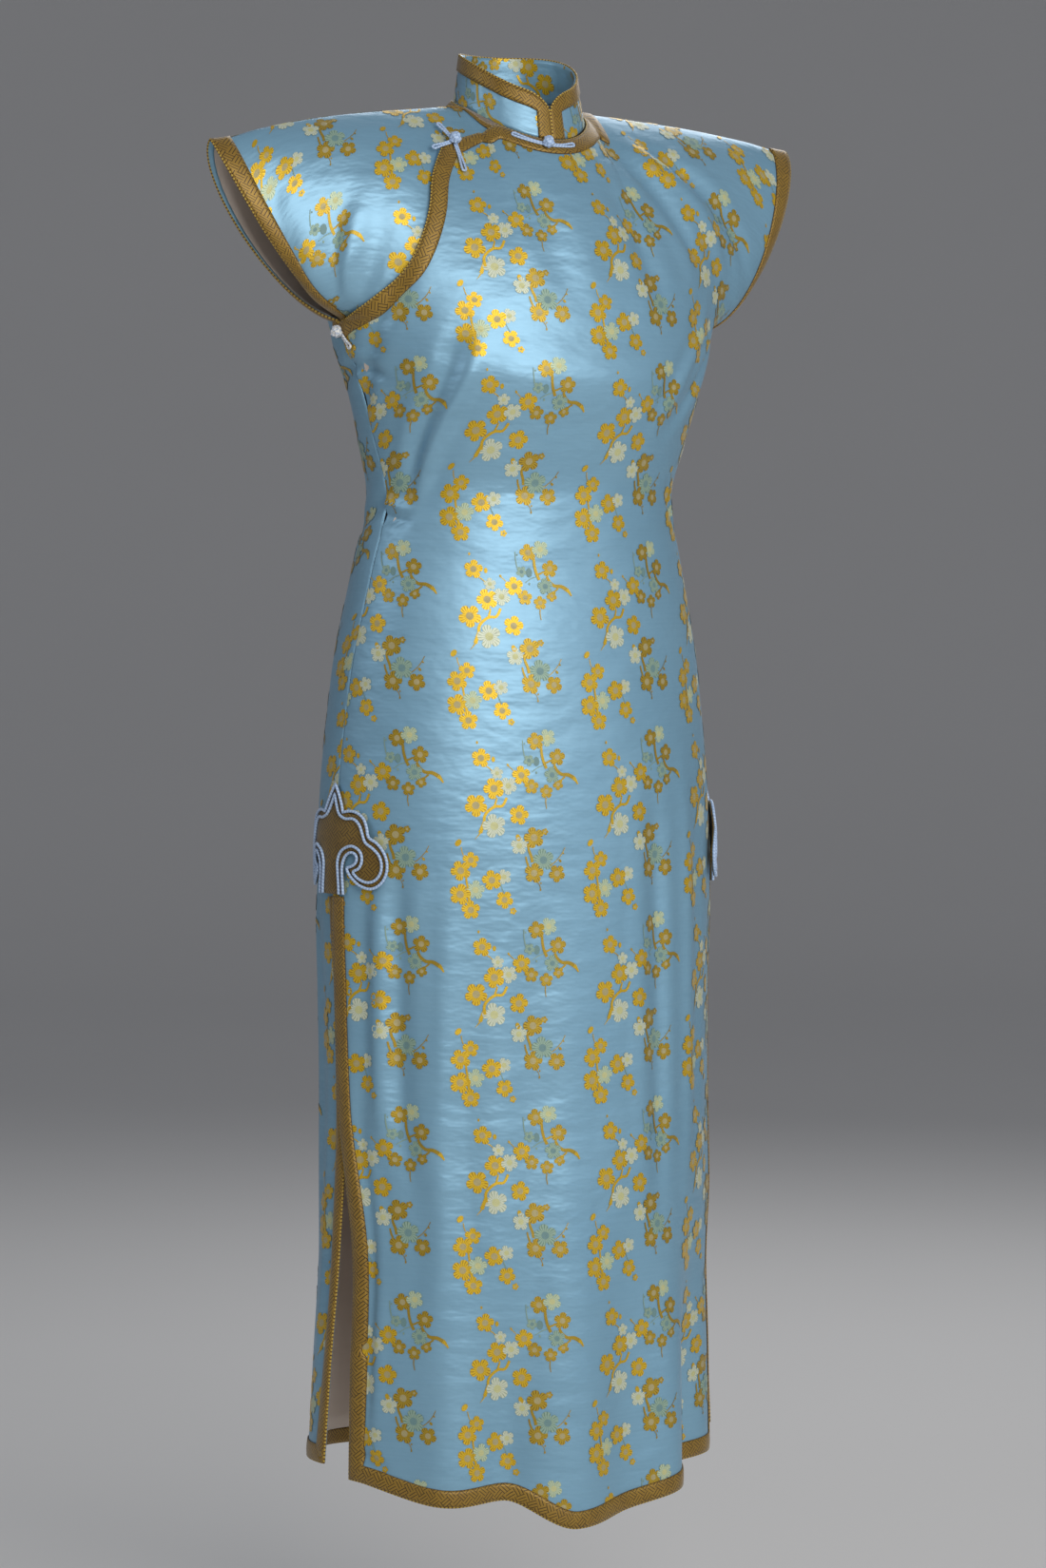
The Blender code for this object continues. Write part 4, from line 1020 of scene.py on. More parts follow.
def tube(name, path, radius, material, sides=10, close=False):
    """Round cord along a path, with metres along it and its turn as the UV map."""
    path = [Vector(p) for p in path]
    count = len(path)
    tangents = []
    for k in range(count):
        before = path[(k - 1) % count] if close else path[max(0, k - 1)]
        after = path[(k + 1) % count] if close else path[min(count - 1, k + 1)]
        tangents.append((after - before).normalized())
    side = tangents[0].orthogonal().normalized()
    points, flat = [], []
    length = 0.0
    for k, (place, tangent) in enumerate(zip(path, tangents)):
        side = (side - tangent * side.dot(tangent)).normalized()
        other = tangent.cross(side)
        if k:
            length += (place - path[k - 1]).length
        for s in range(sides):
            turn = 2 * math.pi * s / sides
            reach = side * (radius * math.cos(turn))
            points.append(place + reach + other * (radius * math.sin(turn)))
            flat.append((length, s / sides))
    faces = []
    for k in range(count if close else count - 1):
        here, there = k * sides, (k + 1) % count * sides
        for s in range(sides):
            t = (s + 1) % sides
            faces.append((here + s, here + t, there + t, there + s))
    if not close:
        faces.append(tuple(range(sides))[::-1])
        faces.append(tuple((count - 1) * sides + s for s in range(sides)))
    return mesh_from(name, points, faces, flat, [material])


def cord_piece(name, path, radius, material, sides=10):
    return new_piece(name, tube(name, path, radius, MATERIALS[material], sides))


def smooth_path(points, steps):
    """Curve through the points, left sharp where the path turns by more than 60 degrees."""
    points = [Vector(p) for p in points]
    count = len(points)
    slopes = []
    for k in range(count):
        before = points[max(0, k - 1)]
        after = points[min(count - 1, k + 1)]
        a = points[k] - before
        b = after - points[k]
        hard = k in (0, count - 1) or a.normalized().dot(b.normalized()) < 0.5
        slopes.append(None if hard else (after - before) * 0.5)
    path = []
    for k in range(count - 1):
        a, b = points[k], points[k + 1]
        chord = b - a
        da = slopes[k] if slopes[k] is not None else chord
        db = slopes[k + 1] if slopes[k + 1] is not None else chord
        da = da.normalized() * chord.length
        db = db.normalized() * chord.length
        for step in range(steps):
            t = step / steps
            path.append(a * ((1 + 2 * t) * (1 - t) ** 2) + da * (t * (1 - t) ** 2)
                        + b * (t * t * (3 - 2 * t)) - db * (t * t * (1 - t)))
    path.append(points[-1])
    return path


# Materials
class Nodes:
    """Small helper that builds a shader's node tree."""

    def __init__(self, name):
        self.material = bpy.data.materials.new(name)
        self.material.use_nodes = True
        self.tree = self.material.node_tree
        self.shader = self.tree.nodes["Principled BSDF"]

    def add(self, kind, inputs=None, **settings):
        node = self.tree.nodes.new(kind)
        for key, value in settings.items():
            setattr(node, key, value)
        for key, value in (inputs or {}).items():
            if isinstance(value, bpy.types.NodeSocket):
                self.tree.links.new(value, node.inputs[key])
            else:
                node.inputs[key].default_value = value
        return node

    def math(self, operation, a, b):
        return self.add("ShaderNodeMath", {0: a, 1: b}, operation=operation).outputs[0]

    def mix(self, factor, a, b):
        node = self.add("ShaderNodeMix", data_type="RGBA")
        for key, value in (("Factor", factor), ("A", a), ("B", b)):
            sockets = [s for s in node.inputs if s.name == key and s.enabled]
            if isinstance(value, bpy.types.NodeSocket):
                self.tree.links.new(value, sockets[0])
            elif key == "Factor":
                sockets[0].default_value = value
            else:
                sockets[0].default_value = (*value, 1.0)
        return [s for s in node.outputs if s.enabled][0]

    def cut(self, scale=(1.0, 1.0, 1.0), turn=0.0):
        """The flat cut's coordinates, scaled and turned."""
        uv = self.add("ShaderNodeUVMap", uv_map="cut").outputs[0]
        inputs = {"Vector": uv, "Rotation": (0.0, 0.0, turn), "Scale": scale}
        return self.add("ShaderNodeMapping", inputs).outputs[0]

    def noise(self, vector, scale, detail=2.0):
        inputs = {"Vector": vector, "Scale": scale, "Detail": detail}
        return self.add("ShaderNodeTexNoise", inputs).outputs[0]

    def wave(self, vector, scale, direction="X", distortion=0.0):
        inputs = {"Vector": vector, "Scale": scale, "Distortion": distortion}
        node = self.add("ShaderNodeTexWave", inputs, bands_direction=direction)
        return node.outputs["Fac"]

    def bump(self, height, strength, distance, normal=None):
        inputs = {"Height": height, "Strength": strength, "Distance": distance}
        if normal is not None:
            inputs["Normal"] = normal
        return self.add("ShaderNodeBump", inputs).outputs[0]

    def link(self, socket, name):
        self.tree.links.new(socket, self.shader.inputs[name])

    def fixed(self, **values):
        for name, value in values.items():
            self.shader.inputs[name.replace("_", " ")].default_value = value


def satin_material():
    """Blue silk satin: long smooth floats, faint ribs across and a soft uneven dye."""
    nodes = Nodes("satin")
    cut = nodes.cut()
    cloudy = nodes.noise(cut, 9.0, 3.0)
    streaks = nodes.noise(nodes.cut((6.0, 160.0, 1.0)), 3.0)
    cloudy = nodes.math("MULTIPLY", cloudy, 0.6)
    tone = nodes.math("ADD", cloudy, nodes.math("MULTIPLY", streaks, 0.4))
    nodes.link(nodes.mix(tone, tint("satin dark"), tint("satin light")), "Base Color")
    ribs = nodes.wave(cut, 260.0, "Y")
    soft = nodes.noise(nodes.cut((1.0, 2.2, 1.0)), 18.0, 3.0)
    normal = nodes.bump(soft, 0.32, 0.007)
    nodes.link(nodes.bump(ribs, 0.10, 0.00008, normal), "Normal")
    tangent = nodes.add("ShaderNodeTangent", direction_type="UV_MAP", uv_map="cut").outputs[0]
    nodes.link(tangent, "Tangent")
    nodes.fixed(Roughness=0.41, Metallic=0.38, Sheen_Weight=0.12, Sheen_Roughness=0.35,
                Sheen_Tint=(0.70, 0.85, 1.0, 1.0), Anisotropic=0.35)
    nodes.shader.inputs["Specular IOR Level"].default_value = 0.6
    return nodes.material


def thread_material(name, bright, dark, metal, rough):
    """Floated pattern weft: thread stripes that show a darker ground between them."""
    nodes = Nodes(name)
    cut = nodes.cut()
    bright, dark = tint(bright), tint(dark)
    bands = nodes.wave(cut, THREAD_STRIPES, "X", 0.8)
    gaps = nodes.math("GREATER_THAN", bands, THREAD_GAP)
    patch = nodes.noise(cut, 30.0)
    body = nodes.mix(patch, bright, tuple(0.82 * c for c in bright))
    nodes.link(nodes.mix(gaps, body, dark), "Base Color")
    nodes.link(nodes.bump(bands, 0.22, 0.0002), "Normal")
    nodes.fixed(Roughness=rough, Metallic=metal, Sheen_Weight=0.15)
    return nodes.material


def brocade_material(name, shade):
    """Gold binding brocade with a dark plaited fret woven at 45 degrees to the edge."""
    nodes = Nodes(name)
    turned = nodes.cut((1.0, 1.0, 1.0), math.radians(45.0))
    checks = {"Vector": turned, "Scale": 1.0 / FRET_CELL}
    cells = nodes.add("ShaderNodeTexChecker", checks).outputs["Fac"]
    rows = nodes.wave(turned, 0.314 / FRET_LINE, "Y", 0.0)
    lines = nodes.wave(turned, 0.314 / FRET_LINE, "X", 0.0)
    across = nodes.math("MULTIPLY", rows, cells)
    along = nodes.math("MULTIPLY", lines, nodes.math("SUBTRACT", 1.0, cells))
    fret = nodes.math("ADD", across, along)
    dark = nodes.math("GREATER_THAN", fret, 0.87)
    fine = nodes.wave(nodes.cut(), 420.0, "X", 0.4)
    light = tuple(shade * c for c in tint("brocade light"))
    deep = tuple(shade * c for c in tint("brocade deep"))
    gold = nodes.mix(nodes.noise(nodes.cut(), 40.0), light, deep)
    gold = nodes.mix(nodes.math("MULTIPLY", fine, 0.25), gold, deep)
    nodes.link(nodes.mix(dark, gold, tint("brocade line")), "Base Color")
    height = nodes.math("SUBTRACT", 1.0, fret)
    nodes.link(nodes.bump(height, 0.3, 0.0002), "Normal")
    nodes.fixed(Roughness=0.45, Metallic=0.30, Sheen_Weight=0.2)
    return nodes.material


def cord_material(name, light, dark):
    """Satin cord with the slanting ribs of its wound thread."""
    nodes = Nodes(name)
    light, dark = tint(light), tint(dark)
    ribs = nodes.wave(nodes.cut((1.0, 0.003, 1.0)), 210.0, "DIAGONAL")
    nodes.link(nodes.mix(nodes.math("MULTIPLY", ribs, 0.6), light, dark), "Base Color")
    nodes.link(nodes.bump(ribs, 0.5, 0.0003), "Normal")
    nodes.fixed(Roughness=0.38, Sheen_Weight=0.4, Sheen_Roughness=0.3)
    return nodes.material


def lining_material():
    nodes = Nodes("lining_silk")
    cut = nodes.cut()
    tone = nodes.noise(cut, 14.0, 3.0)
    nodes.link(nodes.mix(tone, tint("lining dark"), tint("lining light")), "Base Color")
    weave = nodes.wave(cut, 300.0, "Y")
    normal = nodes.bump(nodes.noise(nodes.cut((1.0, 2.0, 1.0)), 22.0, 3.0), 0.3, 0.004)
    nodes.link(nodes.bump(weave, 0.15, 0.0001, normal), "Normal")
    nodes.fixed(Roughness=0.55, Sheen_Weight=0.25)
    return nodes.material


def edge_material():
    """Rolled edge of a binding, whipped with gold and dark thread."""
    nodes = Nodes("rolled_edge")
    turns = nodes.wave(nodes.cut(), 95.0, "X", 0.6)
    dark = nodes.math("GREATER_THAN", turns, 0.62)
    nodes.link(nodes.mix(dark, tint("edge light"), tint("edge dark")), "Base Color")
    nodes.link(nodes.bump(turns, 0.6, 0.0004), "Normal")
    nodes.fixed(Roughness=0.5, Metallic=0.15)
    return nodes.material


def seam_material():
    """Dark thread of the seam inside each binding."""
    nodes = Nodes("seam_thread")
    turns = nodes.wave(nodes.cut(), 160.0, "X")
    dark = tint("seam")
    nodes.link(nodes.mix(turns, dark, tuple(0.6 * c for c in dark)), "Base Color")
    nodes.link(nodes.bump(turns, 0.5, 0.0002), "Normal")
    nodes.fixed(Roughness=0.6)
    return nodes.material


# Brocade motifs, laid on the cloth through its flat cut
class Motifs:
    """Collects blossoms, branches and buds, and lays them on a grid of cloth points."""

    def __init__(self, name, points, flat, flip):
        self.name = name
        columns, rows = points.shape[:2]
        self.points = points.reshape(-1, 3)
        self.normals = array_normals(points, flip).reshape(-1, 3)
        self.flat = flat.reshape(-1, 2)
        quads = grid_faces(columns, rows, False)
        self.tris = [t for q in quads for t in ((q[0], q[1], q[2]), (q[0], q[2], q[3]))]
        self.tree = BVHTree.FromPolygons([(u, v, 0.0) for u, v in self.flat], self.tris)
        self.verts, self.uvs, self.faces, self.slots = [], [], [], []
        self.order = 0
        self.low, self.high = self.flat.min(axis=0), self.flat.max(axis=0)

    def lay(self, place, lift):
        """Point on the cloth over a flat place, and whether the cloth reaches there."""
        found = self.tree.find_nearest((place[0], place[1], 0.0))
        a, b, c = self.tris[found[2]]
        pa, pb, pc = self.flat[a], self.flat[b], self.flat[c]
        hit = found[0]
        area = (pb[0] - pa[0]) * (pc[1] - pa[1]) - (pc[0] - pa[0]) * (pb[1] - pa[1])
        if abs(area) < 1e-14:
            return None, 1.0
        wb = ((hit[0] - pa[0]) * (pc[1] - pa[1]) - (pc[0] - pa[0]) * (hit[1] - pa[1])) / area
        wc = ((pb[0] - pa[0]) * (hit[1] - pa[1]) - (hit[0] - pa[0]) * (pb[1] - pa[1])) / area
        wa = 1.0 - wb - wc
        point = self.points[a] * wa + self.points[b] * wb + self.points[c] * wc
        normal = self.normals[a] * wa + self.normals[b] * wb + self.normals[c] * wc
        return point + normal * lift, found[3]

    def patch(self, places, uvs, faces, slots):
        """Adds flat faces, each with its thread; corners past the cloth stop at its edge."""
        lift = MOTIF_LIFT + MOTIF_STEP * (self.order % MOTIF_STEPS)
        self.order += 1
        laid = [self.lay(place, lift) for place in places]
        first = len(self.verts)
        if any(point is None for point, _off in laid):
            return
        self.verts += [tuple(point) for point, _off in laid]
        self.uvs += uvs
        for face, slot in zip(faces, slots):
            if min(laid[k][1] for k in face) < OFF_CLOTH:
                self.faces.append(tuple(first + k for k in face))
                self.slots.append(slot)

    def blossom(self, x, y, radius, turn, thread):
        """Five round petals about a rayed centre."""
        places, uvs = [(x, y)], [(0.0, 0.0)]
        inner, outer = HEART_POINTS, RIM_POINTS
        heart = HEART_REACH * radius
        for k in range(inner):
            angle = 2 * math.pi * k / inner + turn
            places.append((x + heart * math.cos(angle), y + heart * math.sin(angle)))
            uvs.append((k / inner * 0.5, HEART_REACH))
        for k in range(outer):
            angle = 2 * math.pi * k / outer + turn
            petal = abs(math.cos(2.5 * (angle - turn))) ** PETAL_ROUND
            reach = PETAL_REACH * radius * (PETAL_NOTCH + (1.0 - PETAL_NOTCH) * petal)
            places.append((x + reach * math.cos(angle), y + reach * math.sin(angle)))
            uvs.append((k / outer * 0.5, 1.0))
        faces = [(0, 1 + k, 1 + (k + 1) % inner) for k in range(inner)]
        core = len(faces)
        for k in range(outer):
            a = 1 + k // 2
            b = 1 + ((k + 1) // 2) % inner
            p, q = 1 + inner + k, 1 + inner + (k + 1) % outer
            faces.append((a, p, q) if a == b else (a, p, q, b))
        slots = [SLOTS[HEARTS[thread]]] * core + [SLOTS[thread]] * (len(faces) - core)
        self.patch(places, uvs, faces, slots)

    def strand(self, path, wide_start, wide_end, slot):
        """Branch or stem along a short path."""
        places, uvs, faces = [], [], []
        run = 0.0
        for k, (x, y) in enumerate(path):
            ax, ay = path[max(0, k - 1)]
            bx, by = path[min(len(path) - 1, k + 1)]
            length = math.hypot(bx - ax, by - ay)
            nx, ny = -(by - ay) / length, (bx - ax) / length
            half = 0.5 * (wide_start + (wide_end - wide_start) * k / (len(path) - 1))
            if k:
                run += math.hypot(x - path[k - 1][0], y - path[k - 1][1])
            places += [(x - nx * half, y - ny * half), (x + nx * half, y + ny * half)]
            uvs += [(run * 12.0, 0.0), (run * 12.0 + 0.06, 1.0)]
            if k:
                base = 2 * k
                faces.append((base - 2, base, base + 1, base - 1))
        self.patch(places, uvs, faces, [slot] * len(faces))

    def bud(self, x, y, wide, tall, turn, slot):
        places, uvs = [], []
        for k in range(BUD_POINTS):
            angle = 2 * math.pi * k / BUD_POINTS
            a, b = wide * math.cos(angle), tall * math.sin(angle)
            places.append((x + a * math.cos(turn) - b * math.sin(turn),
                           y + a * math.sin(turn) + b * math.cos(turn)))
            uvs.append((0.25 + 0.1 * math.cos(angle), 0.5 + 0.5 * math.sin(angle)))
        self.patch(places, uvs, [tuple(range(BUD_POINTS))], [slot])

    def spray(self, name, x, y):
        """One spray of the repeat, its middle at x, y; the tables are in millimetres."""
        for of_spray, thread, wide_start, wide_end, path in SPRAY_STRANDS:
            if of_spray == name:
                places = smooth_path([(dx, dy, 0.0) for dx, dy in path], 3)
                self.strand([(x + p.x * MM, y + p.y * MM) for p in places],
                            wide_start * MM, wide_end * MM, SLOTS[thread])
        for of_spray, thread, dx, dy, radius, turn in SPRAY_BUDS:
            if of_spray == name:
                self.bud(x + dx * MM, y + dy * MM, radius * 0.8 * MM, radius * 1.2 * MM,
                         math.radians(turn), SLOTS[thread])
        for of_spray, thread, dx, dy, radius, turn in SPRAY_BLOOMS:
            if of_spray == name:
                self.blossom(x + dx * MM, y + dy * MM, radius * MM, math.radians(turn), thread)

    def cover(self, start):
        """Repeats the four sprays over the whole cut."""
        wide, tall = REPEAT
        for i in range(math.floor((self.low[0] - start[0]) / wide) - 1,
                       math.ceil((self.high[0] - start[0]) / wide) + 1):
            for j in range(math.floor((self.low[1] - start[1]) / tall) - 1,
                           math.ceil((self.high[1] - start[1]) / tall) + 1):
                for name, dx, dy in SPRAY_PLACES:
                    x, y = start[0] + i * wide + dx * MM, start[1] + j * tall + dy * MM
                    if self.low[0] - 0.04 < x < self.high[0] + 0.04 and (
                            self.low[1] - 0.04 < y < self.high[1] + 0.04):
                        self.spray(name, x, y)

    def build(self, materials):
        mesh = mesh_from(self.name, self.verts, self.faces, self.uvs, materials, self.slots)
        return new_piece(self.name, mesh)


# Bindings laid along an edge of the cloth
def front_band_places():
    """Edge and inner place of the front's upper binding at each of its columns."""
    tops = [(share, level) for _name, _low, share, level in FRONT_COLUMNS]
    inner = []
    neck_step = BINDING_WIDTH * (1 - NECK_SHARE) / (SLEEVE_TIP[1][0] - NECK_HALF)
    for i, (share, level) in enumerate(tops[:NECK_POINT + 1]):
        if i < 2:
            inner.append((share, level - BAND_LEVEL))
        elif i == NECK_POINT:
            inner.append((share + neck_step, 2.0))
        else:
            inner.append(band_inner("front", tops[i - 1], tops[i], tops[i + 1], BINDING_WIDTH))
    return tops[:NECK_POINT + 1], inner


def neck_band_places(sides, across):
    """The same for the back's or the right front's neck edge, from share to share."""
    edge, inner = [], []
    for share in across:
        edge.append((share, 2.0))
        if abs(share) == NECK_SHARE and (share > 0) in sides:
            side = 1 if share > 0 else -1
            reach = abs(SLEEVE_TIP[side][0]) - NECK_HALF
            inner.append((share + side * BINDING_WIDTH * (1 - NECK_SHARE) / reach, 2.0))
        else:
            inner.append((share, 2.0 - NECK_BAND_LEVEL))
    return edge, inner


def between(places):
    """Smooth places between the given ones."""
    tables = []
    for value in (0, 1):
        tables.append([("", k, place[value]) for k, place in enumerate(places)])
    steps = spread(0.0, len(places) - 1.0, BETWEEN_STEPS * (len(places) - 1))
    return [tuple(read(table, k) for table in tables) for k in steps]


def hem_band_places(half):
    """Edge and inner places down the left slit, along the hem and up the right slit."""
    sides = []
    for share in (1.0, -1.0):
        hem = hem_level(half, share)
        sides.append([(share, level) for level in spread(SLIT_LEVEL, hem, SLIT_STEPS)])
    hem_line = [(share, hem_level(half, share)) for share in spread(1.0, -1.0, HEM_STEPS)]
    edge = sides[0] + hem_line[1:-1] + sides[1][::-1]
    inner = []
    for k, at in enumerate(edge):
        before = edge[max(0, k - 1)]
        after = edge[min(len(edge) - 1, k + 1)]
        inner.append(band_inner(half, before, at, after, BINDING_WIDTH))
    return edge, inner


def edge_band(half, edge, inner, depth=None):
    """Grid of points over the cloth, from the edge places to the inner places."""
    columns, flats = [], []
    run = 0.0
    for k, (at, to) in enumerate(zip(edge, inner)):
        if k:
            run += (cloth_point(half, *at) - cloth_point(half, *edge[k - 1])).length
        column, flat = [], []
        for step in range(BAND_CELLS + 1):
            t = step / BAND_CELLS
            share, level = at[0] + (to[0] - at[0]) * t, at[1] + (to[1] - at[1]) * t
            deep = depth(share, level) if depth else 0.0
            puff = BAND_LIFT + BAND_PUFF * math.sin(math.pi * t)
            column.append(moved(half, share, level, puff - deep))
            flat.append((run, BINDING_WIDTH * t))
        columns.append(column)
        flats.append(flat)
    return np.array(columns), np.array(flats), half == "front"


def hem_facing(half):
    """Strip of a hem's binding that is turned up inside the cloth."""
    columns, flats = [], []
    run = 0.0
    for share in spread(LINING_SHARE, -LINING_SHARE, HEM_STEPS):
        low = hem_level(half, share)
        column, flat = [], []
        if columns:
            run += (moved(half, share, low, 0.0) - columns[-1][0]).length
        for step in range(BAND_CELLS + 1):
            t = step / BAND_CELLS
            column.append(moved(half, share, low + BAND_LEVEL * t, -WALL - BAND_LIFT))
            flat.append((run, BINDING_WIDTH * t))
        columns.append(column)
        flats.append(flat)
    return np.array(columns), np.array(flats), half != "front"


def whipped(name, path):
    """Rolled edge of a binding."""
    return cord_piece(name, path, EDGE_ROLL, "rolled_edge", 8)


def stitched(name, path):
    """Seam that holds a binding's inner edge."""
    return cord_piece(name, path, SEAM_LINE, "seam_thread", 6)


def binding(name, parts, node):
    """One binding of one or more bands, in place of its solid; the first has its edges sewn."""
    points, faces, flats = [], [], []
    for columns, flat, flip in parts:
        first = len(points)
        count, rows = columns.shape[:2]
        points += [tuple(p) for p in columns.reshape(-1, 3)]
        flats += [tuple(p) for p in flat.reshape(-1, 2)]
        faces += [tuple(first + k for k in face) for face in grid_faces(count, rows, flip)]
    mesh = mesh_from(name, points, faces, flats, [MATERIALS["gold_brocade"]])
    piece = new_piece(name, mesh)
    thicken(piece, BINDING * 0.9, outside=True)
    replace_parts(piece, node)
    columns = parts[0][0]
    whipped(f"{name}_roll_0", [Vector(p) for p in columns[:, 0]])
    stitched(f"{name}_seam_0", [Vector(p) for p in columns[:, -1]])


# Cloth of the dress
def declare(flat):
    """Works out the box round the sheet's flat shape and its flat area, but keeps neither."""
    low = flat.reshape(-1, 2).min(axis=0)
    high = flat.reshape(-1, 2).max(axis=0)
    wide, tall = (float(side) for side in high - low)
    a, b = flat[1:, 1:] - flat[:-1, :-1], flat[:-1, 1:] - flat[1:, :-1]
    area = float(abs(a[..., 0] * b[..., 1] - a[..., 1] * b[..., 0]).sum() / 2)
    area = min(wide * tall, max(0.3 * wide * tall, area))


def panel(name, half, places, motif_start, depth):
    """One silk panel with its brocade motifs."""
    flip = half == "back"
    points = point_grid(half, places, depth)
    flat = FLAT[half].at(places)
    if flip:
        flat = flat * np.array([-1.0, 1.0])
    piece = cloth(name, points, flat, WALL, MATERIALS["satin"], flip)
    motifs = Motifs(f"{name}_motifs", points, flat, flip)
    motifs.cover(motif_start)
    pattern = motifs.build([MATERIALS[thread[0]] for thread in THREADS])
    return piece, pattern, flat


def build_panels():
    """Front with its flap, hidden right front, and back, each with its own motifs."""
    front = place_grid(front_place, front_lines(), FRONT_ROWS)
    back = place_grid(back_place, spread(-1.0, 1.0, BACK_COLUMNS), BACK_ROWS)
    under = place_grid(under_place, spread(-1.0, -0.125, UNDER_COLUMNS), UNDER_ROWS)
    for name, half, places, start, depth in (
            ("front_silk", "front", front, SPRAY_START, None),
            ("right_front_silk", "front", under, UNDER_START, under_depth),
            ("back_silk", "back", back, BACK_START, None)):
        piece, pattern, flat = panel(name, half, places, start, depth)
        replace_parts(piece, PANEL_NODES[name])
        declare(flat)


def build_linings():
    """Plain silk inside the front, the back and the right front, short of their bindings."""
    for name, half, last_share, node, silk in LININGS:
        flip = half == "back"
        right = name == "right_lining"
        places = []
        for share in spread(-LINING_SHARE, last_share, LINING_COLUMNS):
            low = 1.0 if right else hem_level(half, share) + BAND_LEVEL
            high = LINING_TOP
            if name == "front_lining":
                high = read(FLAP_TOPS, share) - 1.15 * BAND_LEVEL
            rises = spread(0.0, 1.0, LINING_ROWS)
            places.append([(share, low + (high - low) * rise) for rise in rises])
        points = point_grid(half, places, under_depth if right else None)
        normals = array_normals(points, flip)
        inset = np.empty(points.shape[:2])
        count, rows = inset.shape
        for i in range(count):
            beside = ease(min(i, count - 1 - i) / 4.0)
            for j in range(rows):
                above = ease((rows - 1 - j) / 5.0)
                inset[i, j] = WALL + LINING_GAP + (LINING_INSET - LINING_GAP) * beside * above
        points = points - normals * inset[..., None]
        flat = FLAT[half].at(places)
        silk_lining = MATERIALS["lining_silk"]
        piece = cloth(name, points, flat, LINING * 0.8, silk_lining, flip)
        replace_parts(piece, node)
        declare(flat)


# All bindings but the collar's
def build_bindings():
    edge, inner = front_band_places()
    flap = slice(0, FLAP_CORNER + 1)
    neck = slice(FLAP_CORNER, None)
    behind = spread(-NECK_SHARE, NECK_SHARE, 8)
    for name, node, half, (edge, inner), depth in (
            ("flap_band", "flap_binding", "front", (edge[flap], inner[flap]), None),
            ("front_neck_band", "neck_band_front", "front", (edge[neck], inner[neck]), None),
            ("right_neck_band", "neck_band_right", "front",
             neck_band_places((False,), (-0.25, -0.1875, -0.125)), under_depth),
            ("back_neck_band", "neck_band_back", "back",
             neck_band_places((False, True), behind), None)):
        binding(name, [edge_band(half, between(edge), between(inner), depth)], node)
    for half in ("front", "back"):
        hem = edge_band(half, *hem_band_places(half))
        binding(f"{half}_hem_band", [hem, hem_facing(half)], f"{half}_hem_binding")
    for side, node in ((1.0, "sleeve_binding_left"), (-1.0, "sleeve_binding_right")):
        sleeve_band(side, node)


def sleeve_band(side, node):
    """Band round a sleeve's mouth, up the front and down the back."""
    depth = under_depth if side < 0 else None
    rising = spread(SLEEVE_START, 2.0, SLEEVE_STEPS)
    columns, flats = [], []
    run, last = 0.0, None
    for half, levels in (("front", rising), ("back", rising[::-1][1:])):
        for level in levels:
            column = []
            for step in range(BAND_CELLS + 1):
                share = side * (1.0 - SLEEVE_BAND * step / BAND_CELLS)
                deep = depth(share, level) if depth and half == "front" else 0.0
                puff = BAND_LIFT + BAND_PUFF * math.sin(math.pi * step / BAND_CELLS)
                if level == 2.0:
                    front = cloth_point("front", share, 2.0)
                    behind = cloth_point("back", share, 2.0)
                    column.append((front + behind) / 2 + Vector((0.0, 0.0, puff + 0.0003)))
                else:
                    column.append(moved(half, share, level, puff - deep))
            if last is not None:
                run += (column[0] - last).length
            last = column[0]
            columns.append(column)
            flats.append([(run, BINDING_WIDTH * step / BAND_CELLS)
                          for step in range(BAND_CELLS + 1)])
    name = "left_sleeve_band" if side > 0 else "right_sleeve_band"
    binding(name, [(np.array(columns), np.array(flats), side < 0)], node)


# Collar
def collar_grid():
    """Points of the collar's outer face, with its binding's rows and columns marked out."""
    start = 0.5 * COLLAR_GAP / NECK_HALF
    edge = BINDING_WIDTH / COLLAR_HALF
    whole = 2 * math.pi
    angles = spread(start, edge, COLLAR_BAND)
    angles += spread(edge, whole - edge, COLLAR_AROUND)[1:-1]
    angles += spread(whole - edge, whole - start, COLLAR_BAND)
    columns, flats = [], []
    run = 0.0
    for angle in angles:
        turned = angle if angle <= math.pi else angle - 2 * math.pi
        share = collar_share(turned)
        rim_row = 1.0 - BINDING_WIDTH / (COLLAR_HEIGHT * share)
        heights = spread(0.0, rim_row, COLLAR_ROWS) + spread(rim_row, 1.0, 4)[1:]
        ripple = sum(out * math.exp(-((turned - at) / wide) ** 2)
                     for _name, at, wide, out in COLLAR_CREASES)
        column = []
        for height in heights:
            away = Vector((math.sin(turned), -math.cos(turned), 0.0))
            depth = ripple * ease(height * 3.0) * ease((1.15 - height) * 2.0)
            column.append(collar_point(turned, height) + away * depth)
        if columns:
            run += (column[6] - columns[-1][6]).length
        flats.append([(run, height * share * COLLAR_HEIGHT) for height in heights])
        columns.append(column)
    return np.array(columns), np.array(flats)


def build_collar():
    """Stand collar, with motifs on both faces, and its binding."""
    points, flat = collar_grid()
    middle = flat[:, :, 0].max() / 2
    piece = cloth("collar_silk", points, flat - np.array([middle, 0.0]), COLLAR_THICK * 0.9,
                  MATERIALS["satin"])
    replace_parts(piece, "collar")
    normals = array_normals(points, False)
    inside = points - normals * (COLLAR_THICK * 0.9 + OFF_CLOTH)
    for name, grid, flip, start in (("collar_motifs", points, False, COLLAR_START),
                                    ("collar_inner_motifs", inside, True, COLLAR_INNER_START)):
        motifs = Motifs(name, grid, flat, flip)
        motifs.cover(start)
        motifs.build([MATERIALS[thread[0]] for thread in THREADS])
    declare(flat)
    build_collar_band(points + normals * (BAND_LIFT + 0.0003), flat)


